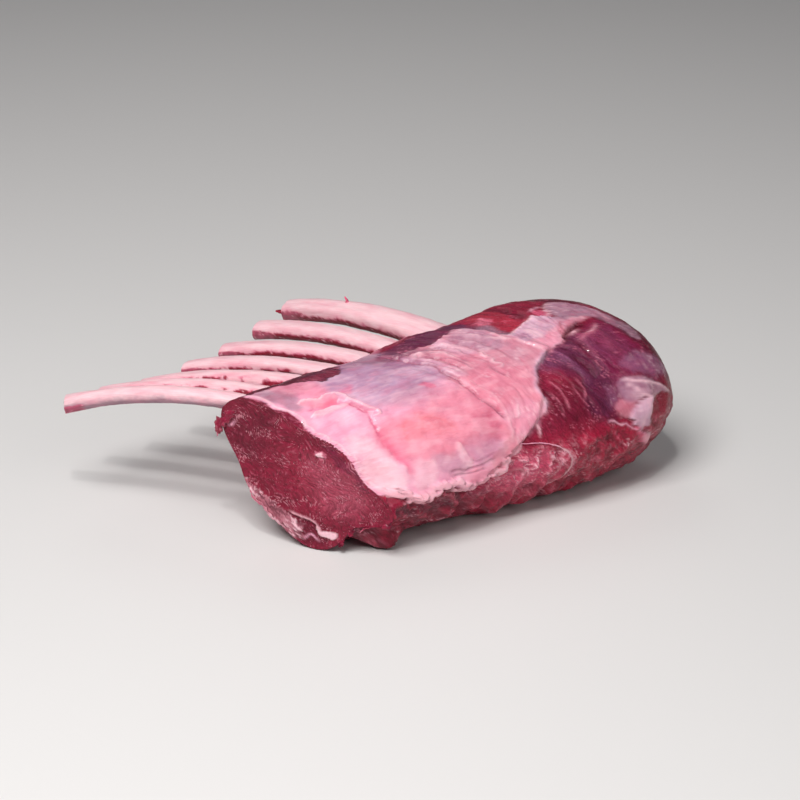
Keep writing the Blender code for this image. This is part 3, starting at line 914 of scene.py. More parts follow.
SEAMS: tuple[Mark, ...] = (
    # lip of skin along the cut
    Streak(Tone.CREAM, ((2.6, 56), (3.4, 66), (2, 72), (4.6, 77), (5.4, 84), (3.6, 90), (3.4, 95), (2, 102),
        (2.6, 110), (1.4, 118), (2, 127), (1.4, 138), (2.2, 147), (1.6, 158), (2.2, 164), (1.4, 172),
        (2.2, 180)), 0.6, 0.8, 0.3, 1),
    # rolled edge of loose skin: pale rim, flushed inside
    Streak(Tone.HOT, ((15, 82), (18, 84), (23, 86), (25, 93)), 2.4, 0.8, -0.4, 1),
    Streak(Tone.FLUSH, ((25, 92), (25.2, 98), (25, 105), (25, 112)), 0.8, 0.9, -0.9, 1),
    Streak(Tone.CREAM, ((11.5, 75), (15, 75.5), (18, 78), (20, 79), (23, 77.5), (26, 78), (28.4, 81),
        (28.8, 85), (27.3, 90), (27, 100), (27.2, 108), (28.4, 113), (27, 117), (25, 116)), 0.55, 0.85, 0.9,
        1),
    Streak(Tone.CREAM, ((9.5, 86.5), (13, 85.5), (16, 87), (20, 88)), 0.5, 0.8, 0.5, 1),
    Streak(Tone.CREAM, ((9.8, 87.5), (14, 90), (20, 92), (24, 94)), 0.45, 0.6, 0.3, 1),
    Streak(Tone.FLUSH, ((11, 82), (13, 81.5), (15, 80.5)), 0.6, 0.6, -0.4),
    Streak(Tone.FLUSH, ((24.5, 112), (22.5, 118), (20.5, 125), (18.8, 132), (18.3, 138)), 0.7, 0.75, -0.7),
    Streak(Tone.HOT, ((18.3, 138), (18, 150), (17.6, 160), (18, 168), (16.5, 176)), 1, 0.65, -0.6),
    Streak(Tone.HOT, ((23.5, 114), (21, 122), (18.6, 134), (18, 150), (17.5, 172)), 3, 0.35),
    Streak(Tone.CORAL, ((25, 150), (27, 142), (31, 134), (40, 136), (45, 141), (48, 152)), 0.8, 0.5, -0.2),
    # main crease between near and far skin, and short creases low on the near skin, with CREASE lines painting
    # shade along them
    Streak(Tone.CREASE, ((71.5, 58), (72.5, 74), (73.2, 84), (74.4, 92), (73.8, 99), (72.4, 105),
        (72.5, 116), (71.3, 122), (71, 130), (70.5, 137), (71, 143), (71.8, 149), (73, 158)), 0.6, 0.9,
        -1.4),
    Streak(Tone.ROSE, ((72, 118), (70.5, 130), (70, 140), (71, 150)), 2.4, 0.5),
    Streak(Tone.CREASE, ((33, 179.5), (38, 179), (41, 181), (50, 181), (58, 179)), 0.6, 0.7, -0.5),
    Streak(Tone.CREASE, ((34, 182), (38, 182.5), (45, 184), (52, 183)), 0.5, 0.6, -0.4),
    Streak(Tone.CREASE, ((46, 176), (50, 178), (60, 176)), 0.5, 0.4, -0.3),
    # folds of the far skin: CREASE lines paint shade in their grooves and CREAM lines paint highlights on their
    # crests
    Streak(Tone.CREASE, ((76, 72), (80, 69), (86, 72), (91, 78), (93, 84)), 0.9, 0.6, -1.1),
    Streak(Tone.CREAM, ((75, 79), (79, 74.5), (83, 77), (86, 83), (88, 89)), 0.8, 0.5, 1),
    Streak(Tone.CREASE, ((82, 80), (82.6, 90), (81, 100), (80.5, 111)), 0.9, 0.5, -1.1),
    Streak(Tone.CREAM, ((76, 83), (75, 95), (75.2, 105), (76, 113)), 0.9, 0.2, 0.2),
    Streak(Tone.CREAM, ((85, 76), (87, 84), (86.5, 95), (86, 106)), 0.5, 0.45, 0.4),
    Streak(Tone.CREASE, ((79.5, 76), (81, 82), (84.5, 90), (85, 100), (84, 112)), 0.45, 0.55, -0.5),
    Streak(Tone.CREASE, ((88.5, 72), (89.5, 80), (90, 92)), 0.9, 0.4, -0.5),
    Streak(Tone.CREAM, ((93, 74), (94, 84), (94.5, 97)), 0.8, 0.45, 0.4),
    Streak(Tone.ROSE, ((92, 100), (94, 105), (93, 111)), 1.2, 0.6, -0.5),
    Streak(Tone.CREASE, ((91, 116), (90, 124), (91.5, 131)), 0.9, 0.5, -0.5),
    Streak(Tone.CREAM, ((98, 100), (95.5, 104), (96.5, 108)), 0.7, 0.7, 0.6),
    Streak(Tone.CREAM, ((97, 110), (94.5, 114), (96, 119), (92.5, 121)), 0.8, 0.7, 0.7),
    Streak(Tone.CREASE, ((98, 76), (98.4, 88), (97.5, 99)), 0.8, 0.4, -0.4),
    Streak(Tone.CREASE, ((103, 80), (104.6, 90), (104, 106), (103, 118)), 0.6, 0.35, -0.3),
    Streak(Tone.ROSE, ((107, 117), (104.5, 127), (101, 134)), 0.5, 0.5, -0.2),
    Streak(Tone.CREAM, ((109, 91), (111, 98), (115, 104), (117, 112), (118.4, 120)), 0.8, 0.6, 0.5),
    Streak(Tone.CREAM, ((83, 150), (81, 154), (79, 158), (77, 158)), 0.5, 0.7, 0.3),
    Streak(Tone.CREAM, ((74, 126), (76, 140), (74, 158), (70, 172)), 0.8, 0.3, 0.3),
    Streak(Tone.ROSE, ((78, 132), (80, 146), (77, 160), (72, 172)), 0.7, 0.4, -0.3),
    Streak(Tone.ROSE, ((87, 134), (88, 146), (84, 158)), 0.7, 0.35, -0.3),
    # torn edge of the far skin, thin enough to show the muscle
    Streak(Tone.PEARL, ((120, 121), (114, 125), (107.5, 130), (104, 136), (99, 142), (97, 148), (98.5, 154),
        (94, 161)), 1.3, 0.75, 0.3, 0.9),
    # tears and folds at the far end
    Streak(Tone.CLOT, ((134, 119), (136.5, 114), (141, 110), (146, 107.5), (151, 106), (156, 107)), 1.1,
        0.85, -1.5, -1),
    Streak(Tone.FAT, ((140, 114.5), (144, 112), (148, 109.5)), 1.2, 0.8, 0.8, 1),
    Streak(Tone.ROSE, ((139, 122), (144, 119), (150, 117), (156, 114), (161, 109.5)), 1.3, 0.5, 0.6, 0.5),
    Streak(Tone.FAT, ((146, 117.5), (152, 116), (158, 112.5), (161, 109.5)), 0.4, 0.6, 0.2, 0.5),
    Streak(Tone.CREAM, ((143, 92), (147, 89), (149, 85), (152, 80.5), (157, 76.5)), 0.7, 0.7, 0.5, 1),
    Streak(Tone.BLUSH, ((140, 83), (146, 80), (150, 79)), 0.8, 0.6, 0.3, 0.8),
    Streak(Tone.CREAM, ((116, 99), (121, 94.5), (130, 92), (138, 87.5)), 0.7, 0.7, 0.4, 1),
    Streak(Tone.CREAM, ((145, 155), (150, 158), (158, 161), (166, 164.5), (173, 170), (178, 175)), 0.8,
        0.75, 0.7, 1),
    Streak(Tone.CREAM, ((149, 166), (155, 169), (159, 170.5), (164, 169.5)), 0.6, 0.6, 0.4, 1),
    Streak(Tone.CREAM, ((150, 170), (152.5, 174), (152, 182)), 0.9, 0.6, 0.3, 1),
    Streak(Tone.CREAM, ((147, 174), (147.5, 180), (149, 187)), 0.4, 0.5, 0.3, 1),
    Streak(Tone.BLUSH, ((127, 177.5), (131, 178), (134, 181), (138, 182), (141, 185), (147, 188.5),
        (153, 192)), 0.5, 0.7, 0.5, 1),
    Streak(Tone.MAUVE, ((124, 121), (125.5, 132), (127.5, 149)), 1.8, 0.5, 0.4),
    Streak(Tone.CREASE, ((129, 120), (134, 124), (136, 132)), 1.1, 0.6, 0.4),
    Streak(Tone.CREASE, ((144, 121), (140.5, 127), (139, 134), (139, 142)), 1.8, 0.6, 0.4),
    Streak(Tone.CREASE, ((155, 117), (153.5, 124), (151, 131), (149, 140)), 1.8, 0.55, 0.4),
    Streak(Tone.DEEP, ((136, 120), (137.5, 128), (135, 138)), 1.6, 0.6, -0.5),
    Streak(Tone.DEEP, ((130, 126), (131.5, 138), (133, 150)), 2.2, 0.5, -0.3),
    Streak(Tone.ROSE, ((108.5, 142), (110, 152), (108, 164)), 0.6, 0.5, 0.3),
    Streak(Tone.ROSE, ((122, 146), (122.5, 154), (120, 161)), 0.6, 0.5, 0.3),
    Streak(Tone.ROSE, ((118, 148), (117.5, 156), (119, 165)), 0.5, 0.4, 0.2),
    Streak(Tone.ROSE, ((104, 150), (105, 160), (103, 168)), 0.5, 0.3, 0.2),
    Streak(Tone.FAT, ((86.5, 166), (88, 170), (87, 175)), 0.7, 0.85, 0.5, 1),
    # shadowed gap under the lower edge of the skin
    Streak(Tone.CLOT, ((9, 194), (17, 197), (27, 193), (36, 195), (45, 201), (56, 198), (64, 191)), 1.5,
        0.85, -1.3, -1),
    # strand torn off the skin, curling down over the foot
    Streak(Tone.CREAM, ((96, 184), (100, 188), (103, 194), (103.5, 201), (101, 208), (96, 212)), 0.6, 0.8,
        0.7, 1),
    Streak(Tone.FAT, ((90, 190), (95, 192), (97, 198), (94, 205)), 0.5, 0.6, 0.5, 1),
    Streak(Tone.FAT, ((70, 192), (76, 194), (80, 200)), 0.9, 0.6, 0.6, 0.8),
)


class WorkedSkin(Canvas):
    """Outside of the meat, worked over with marks, folds, strands and fibres."""

    crease: float = 71.0        # distance along of the fold between near and far skin
    foot_from: float = 176.0    # direction from which the muscle is torn
    tip_from: float = 178.0     # distance along from which the fibres close up round the tip
    fringe: Path = ((4, 181), (11, 189), (17, 191), (27, 187), (36, 189), (45, 195), (60, 190), (66, 183))

    def __init__(self, along: Array, angle: Array) -> None:
        """Work the skin at some places.

        Args:
            along: Distance of each place along the rack.
            angle: Its direction.
        """
        super().__init__(np.stack([along, angle * ARC], axis=1), Tone.MUSCLE, (1.0, ARC))
        self.along, self.angle = along, angle
        self.body = LAYOUT.surface(along, angle)
        self.off_rim = step(along / 4.0)
        self.wash(Tone.DEEP, 0.5 * step(0.5 + noise(self.body, 14.0, 1)))
        self.lay(FLESH + BACK_SKIN + COVER + NEAR_SKIN + FAR_SKIN + END_SKIN + SEAMS)
        self.relief += self.off_rim * (0.35 * noise(self.body, 16.0, 11) + 0.25 * noise(self.body, 6.0, 12))
        self._rim()
        self._far_skin()
        self._near_skin()
        self._muscle()
        self._fringe()

    def points(self) -> Array:
        """The worked surface, in the rack's own layout."""
        return LAYOUT.surface(self.along, self.angle, self.relief)

    def strands(self) -> Array:
        """Follow the strands and fibres.

        Returns:
            Coordinates across and along them.
        """
        along, arc = self.here.T
        skin = np.where((along < self.crease)[:, None], np.stack([arc - 0.12 * along, along], axis=1), self.here)
        muscle = np.stack([along - 0.35 * arc, arc], axis=1)
        muscle = np.where((self.angle > self.foot_from)[:, None], swung(self.here, 0.67, 0.74), muscle)
        muscle = np.where((along > self.tip_from + 8.0)[:, None], self.body[:, 1:], muscle)
        return np.where((self.cover > 0.5)[:, None], skin, muscle) + 1.8 * self.stray

    def _rim(self) -> None:
        """Ragged rim where the knife went through the skin."""
        rim = (1.0 - self.off_rim) * step((186.0 - self.angle) / 4.0) * step((self.angle - 56.0) / 4.0)
        self.relief += 0.7 * rim * noise(self.here, (8.0, 1.8), 43, 2)
        self.wash(Tone.ROSE, 0.6 * rim * step(noise(self.here, (1.6, 2.4), 44, 2) * 2.4 - 0.2))

    def _far_skin(self) -> None:
        """Nested folds of the far skin, which flatten out below, with painted shade in their hollows and painted
        highlights on their crests, and fine strands across them.
        """
        along, angle = self.along, self.angle
        far = self.cover * step((along - self.crease) / 3.0)
        phase = along + 20.0 * np.exp(-(np.maximum(angle, 62.0) - 62.0) / 9.0) + 1.6 * noise(self.here, 12.0, 13)
        fold = np.sin(phase * 2.0 * math.pi / 5.6) + 0.6 * np.sin(phase * 2.0 * math.pi / 2.7 + 1.0)
        strong = far * (0.18 + 0.82 * step((116.0 - angle) / 32.0)) * step((angle - 60.0) / 8.0)
        # painted shade in the fold hollows and painted highlights on the fold crests
        self.weave(fold, strong, 0.30, (Tone.CREASE, 0.18, 1.0, 0.1), (Tone.CREAM, 0.14, 1.0, 0.4))
        drawn = np.stack([phase, self.here[:, 1]], axis=1)
        gathered = far * (0.25 + 0.75 * step((118.0 - angle) / 30.0))
        gathered *= step(0.8 + 1.4 * noise(self.body, 9.0, 37))
        # finer wrinkles: painted shade in their hollows and painted highlights on their crests
        self.weave(noise(drawn, (1.7, 9.0), 32), gathered, 0.34, (Tone.CREASE, 0.42, 2.0, 0.2),
                   (Tone.CREAM, 0.50, 2.2, 0.5))
        thread = ridges(noise(drawn, (2.2, 16.0), 46), 7.0)
        self.wash(Tone.CREAM, 0.45 * far * step(thread) * step(noise(self.body, 8.0, 47) * 2.0 + 0.3))

    def _near_skin(self) -> None:
        """Faint strands and blots of the near skin, a painted mauve shade over the skin away from the cut, and
        clouds over all the skin.
        """
        along, arc = self.here.T
        near = self.cover * step((self.crease + 1.0 - along) / 3.0)
        bent = arc + 3.0 * noise(self.here, 24.0, 24)
        clean = 0.25 + 0.75 * step((along - 16.0 - 12.0 * step((self.angle - 84.0) / 20.0)) / 12.0)
        clean *= 1.0 - 0.55 * step((self.angle - 112.0) / 20.0)
        strand = noise(np.stack([along / 12.0, bent / 2.2 - along / 26.0], axis=1), 1.0, 14)
        self.weave(strand, near * clean, 0.10, (Tone.CREASE, 0.12, 1.5, 0.1), (Tone.CREAM, 0.16, 1.5, 0.0))
        # painted shade: the skin dims to mauve away from the cut and over the top
        painted_dusk = step((along - 30.0) / 20.0) * step((158.0 - self.angle) / 20.0)
        self.wash(Tone.MAUVE, 0.12 * self.cover * painted_dusk)
        cloud = noise(self.here, (11.0, 6.0), 25)
        self.weave(cloud, self.cover, 0.0, (Tone.ROSE, 0.20, 1.8, 0.0), (Tone.CREAM, 0.20, 1.8, 0.0))
        blot = noise(np.stack([along / 8.0, bent / 4.6 - along / 30.0], axis=1), 1.0, 48)
        self.weave(blot, near, 0.0, (Tone.BLUSH, 0.18, 2.0, 0.4), (Tone.MAUVE, 0.15 * clean, 2.0, 0.4))

    def _muscle(self) -> None:
        """Bundles of bare muscle, its torn foot, single pale fibres over both, and painted glints on the foot."""
        along, arc = self.here.T
        bare = 1.0 - self.cover
        drawn = np.stack([along - 0.35 * (arc - 150.0 * ARC) + 2.5 * noise(self.here, 20.0, 26), arc], axis=1)
        open_side = 1.0 - step((along - self.tip_from) / 12.0)
        bundle = noise(drawn, (4.2, 22.0), 15) * open_side
        bundle += (1.0 - open_side) * noise(self.body, (9.0, 6.0, 12.0), 15)
        self.relief += 0.45 * bare * bundle * self.off_rim
        self.weave(bundle, bare, 0.0, (Tone.DEEP, 0.35, 1.6, 0.0), (Tone.FRESH, 0.15, 1.4, 0.0))
        foot = bare * step((self.angle - self.foot_from) / 12.0) * step((258.0 - self.angle) / 20.0)
        foot *= step((along - 3.0) / 9.0)
        self._foot(foot)
        bent = self.here + 1.6 * self.stray + 0.6 * self.fray
        where = step(noise(self.here, 9.0, 41) * 2.0 + 0.1)
        hair = ridges(noise(drawn, (1.8, 13.0), 40), 9.0)
        self.wash(Tone.ROSE, 0.45 * bare * (1.0 - foot) * open_side * where * step(hair))
        slanting = ridges(noise(swung(bent, 0.67, 0.74), (1.8, 12.0), 42), 15.0)
        self.wash(Tone.FAT, 0.45 * foot * where * open_side * step(slanting))
        # painted glints: tiny pale specks standing for highlights on the wet foot, raised a little
        glint = step(noise(bent, (2.2, 1.2), 50, 2) * 5.0 - 3.0)
        self.wash(Tone.CREAM, 0.6 * foot * where * glint)
        self.relief += 0.2 * foot * glint

    def _foot(self, foot: Array) -> None:
        """Work the torn foot: slanting bundles, lobes with painted shade in the hollows between them, and tatters
        with pale edges over painted dark gaps.

        Args:
            foot: How much of each place belongs to it.
        """
        along, angle = self.along, self.angle
        bent = self.here + 1.6 * self.stray + 0.6 * self.fray
        slant = swung(bent, 0.67, 0.74)
        torn = noise(self.here, (6.0, 4.5), 16)
        rope = noise(slant, (3.4, 15.0), 33)
        lobes = noise(slant, (9.0, 14.0), 49, 2)
        tatter = ridges(noise(bent, (8.0, 6.0), 27, 2), 3.4)
        fine = ridges(noise(bent, (3.4, 2.4), 28, 2), 3.0)
        pale = foot * (0.06 + 0.94 * bump(along - 82.0, 24.0) * bump(angle - 190.0, 14.0))
        pale *= step(0.7 + 1.6 * noise(self.here, 7.0, 34))
        flap = bump(along - 15.0, 9.0) * bump(angle - 235.0, 14.0)
        self.relief += foot * (1.7 * lobes + 0.15 * torn) + pale * (0.55 * step(tatter) + 0.25 * step(fine))
        self.relief += 1.3 * flap * noise(bent, 5.0, 38, 3)
        self.wash(Tone.CRIMSON, 0.45 * foot)
        self.wash(Tone.BLOOD, 0.5 * foot * step((along - 54.0) / 14.0))
        # painted shade in the hollows between the lobes
        self.wash(Tone.CLOT, 0.4 * foot * step(-lobes * 2.6 - 0.7))
        self.wash(Tone.ROSE, 0.6 * flap * step(noise(bent, (3.0, 2.0), 39, 2) * 2.4 - 0.6))
        self.weave(rope, foot, 0.35, (Tone.DEEP, 0.4, 1.8, 0.0), (Tone.BLOOD, 0.6, 1.8, 0.0))
        self.wash(Tone.ROSE, 0.35 * foot * step(rope * 2.4 - 0.9))
        self.wash(Tone.CLOT, 0.36 * foot * step(-torn * 2.2 - 0.3))
        self.wash(Tone.HOT, 0.62 * foot * bump(along - 76.0, 20.0) * bump(angle - 195.0, 16.0))
        self.wash(Tone.ROSE, 0.6 * pale * step(tatter * 1.6 - 0.2))
        self.wash(Tone.FAT, 0.9 * pale * step(tatter * 2.4 - 1.3))
        self.wash(Tone.FAT, 0.6 * pale * step(fine * 2.4 - 1.3))

    def _fringe(self) -> None:
        """Clumps of fat along the lower edge of the skin."""
        gap = distance_to(rounded(np.array(self.fringe) * self.unit), self.here + self.stray * 0.8)
        clump = step(bump(gap, 3.4) * (1.0 + 1.8 * noise(self.here, 3.2, 19, 2)) * 2.4 - 0.8)
        self.relief += 1.6 * clump
        self.wash(Tone.FAT, 0.8 * clump)
        self.clothe(clump * 0.9)


@dataclass(frozen=True)
class Skin:
    """Outside of the meat, from the rim of the cut to the far tip."""

    near_rings: int = 208
    end_rings: int = 38
    stretches: Path = ((-90.0, 46.0, 86), (46.0, 234.0, 262), (234.0, 270.0, 32))   # from, to, points

    def angles(self) -> Array:
        """Directions of the points round a ring, closest together on the outer side."""
        return np.concatenate([np.linspace(*stretch, endpoint=False) for stretch in self.stretches])

    def build(self, finish: bpy.types.Material) -> None:
        """Build and dress the skin.

        Args:
            finish: Material it takes.
        """
        along, angle = LAYOUT.rings(self.near_rings, self.end_rings)[:-1], self.angles()
        grid = np.meshgrid(along, angle, indexing="ij")
        worked = WorkedSkin(grid[0].ravel(), grid[1].ravel())
        points = worked.points()
        last = len(points) - len(angle)
        tip = points[last:].mean(axis=0) + (0.2, 0.0, 0.0)
        marks = {name: np.vstack([values, values[last:].mean(axis=0)])
                 for name, values in worked.stored(worked.strands()).items()}
        faces = tube(len(along), len(angle), len(points))
        make_piece("outside", np.vstack([points, tip]), faces, marks, finish)



FACE_MARKS: tuple[Mark, ...] = (
    Patch(Tone.DEEP, ((44, 60), (36, 72), (22, 70), (28, 50), (36, 44)), 9, 0.5),
    Patch(Tone.FRESH, ((20, 52), (-4, 46), (-16, 30), (0, 22), (16, 34)), 14, 0.5),
    Patch(Tone.ROSE, ((10, 50), (-12, 42), (-16, 26), (2, 22)), 14, 0.22),
    Patch(Tone.PLUM, ((0, 58), (-12, 46), (-18, 36), (-10, 42), (0, 54)), 4, 0.35),
    Patch(Tone.DEEP, ((14, 16), (4, 13), (2, 4), (12, 2), (16, 8)), 3, 0.55),
    Patch(Tone.ROSE, ((5.4, 54.2), (1.8, 54.2), (1.2, 50.8), (4, 50), (6, 52)), 0.9, 0.7, 0.2),
    Patch(Tone.CREAM, ((4.8, 53.6), (2.6, 53.6), (2.2, 51.6), (3.8, 51), (5.2, 52)), 0.6, 1, 0.7, 1),
    Patch(Tone.CREAM, ((6, 13.6), (3.2, 11.2), (0, 11.6), (-3.6, 10.2), (-2, 7), (1.4, 8.2), (4.4, 9)), 0.6,
        1, 0.8, 1),
)
FACE_SEAMS: tuple[Mark, ...] = (
    Streak(Tone.FAT, ((17, 19), (12, 17), (8, 16), (5, 13), (4, 11)), 0.6, 0.9, 0.3, 0.8),
    Streak(Tone.CLOT, ((18, 17.5), (12, 15.5), (8, 14.5), (5, 11.5)), 0.7, 0.6, -0.6),
    Streak(Tone.BLUSH, ((11, 5), (8, 8.5), (5, 5)), 0.5, 0.9, 0.2, 0.6),
    Streak(Tone.BLUSH, ((40, 64), (42, 61), (44, 63)), 0.6, 0.7, 0.2),
)


@dataclass(frozen=True)
class CutFace:
    """Clean cut across the loin, where fibres end and its small muscles and seams show."""

    rings: int = 66
    dish: float = 1.1
    middle: tuple[float, float] = (12.0, 38.0)      # across and up
    membrane: Path = ((41, 38), (36, 33), (29, 26.5), (20, 19), (12, 12), (10, 5), (18, 4), (30, 12), (44, 30))

    def build(self, skin: Skin, finish: bpy.types.Material) -> None:
        """Build and dress the face.

        Args:
            skin: Skin whose rim it meets.
            finish: Material it takes.
        """
        angle = skin.angles()
        n = len(angle)
        rim = WorkedSkin(np.zeros(n), angle)
        shares = 1.0 - np.linspace(0.0, 1.0, self.rings + 1)[:-1]
        share = np.append(np.repeat(shares, n), 0.0)
        spokes = (shares[:, None, None] * (rim.points()[:, 1:] - self.middle)).reshape(-1, 2)
        canvas = Canvas(np.vstack([spokes, (0.0, 0.0)]) + self.middle, Tone.MUSCLE)
        here = canvas.here
        canvas.fabric[:, 1] = 0.6 + 0.6 * noise(here, 7.0, 29)
        canvas.wash(Tone.DEEP, 0.45 * step(0.5 + noise(here, 9.0, 21)))
        canvas.wash(Tone.CRIMSON, 0.25)
        canvas.lay(FACE_MARKS + FACE_SEAMS)
        self._membrane(canvas)
        swirl = here + 5.0 * np.stack([noise(here, 18.0, 30), noise(here, 18.0, 31)], axis=1)
        lay = swung(swirl[:, ::-1], 0.53, 0.85)
        ends = noise(lay, (1.0, 2.4), 22, 2)
        canvas.relief += 0.34 * ends + 0.4 * noise(here, 7.0, 23, 2)
        lively = step(0.4 + noise(here, 8.0, 35) * 2.0)
        canvas.weave(ends, 1.0 - canvas.cover, 0.0, (Tone.CLOT, 0.4, 1.5, 0.1),
                     (Tone.ROSE, 0.35 * lively, 1.5, 0.3))
        inside = step((1.0 - share) / 0.035)
        slant = math.tan(math.radians(LAYOUT.slants[0][1]))
        x = -slant * here[:, 0] + (self.dish * np.sqrt(1.0 - share) - canvas.relief) * inside
        nicks = noise(here, 2.0, 45, 2)
        keep = step((share - 0.985 + 0.014 * nicks) / 0.018)[:-1, None]
        for values, edge in ((canvas.tint, rim.tint), (canvas.fabric, rim.fabric)):
            values[:-1] = values[:-1] * (1.0 - keep) + np.tile(edge, (len(shares), 1)) * keep
        faces = [(face[0], *face[:0:-1]) for face in tube(len(shares), n, len(share) - 1)]
        make_piece("cut_face", np.column_stack([x, here]), faces, canvas.stored(lay * (1.0, 1.2)), finish)

    def _membrane(self, canvas: Canvas) -> None:
        """Lay a ragged strip of membrane under the loin, in long strands with pale torn edges.

        Args:
            canvas: The face's surface.
        """
        here = canvas.here + 1.6 * canvas.fray + 0.8 * canvas.stray
        band = within(self.membrane, here, 1.0)
        strand = noise(swung(here, 0.745, 0.667), (1.3, 12.0), 36)
        canvas.wash(Tone.BEIGE, 0.55 * band)
        canvas.weave(strand, band, 0.6, (Tone.DEEP, 0.7, 2.4, 0.0), (Tone.CREAM, 0.9, 2.8, 0.5))
        canvas.relief += 0.3 * band
        canvas.clothe(band)


# --- bones ------------------------------------------------------------------

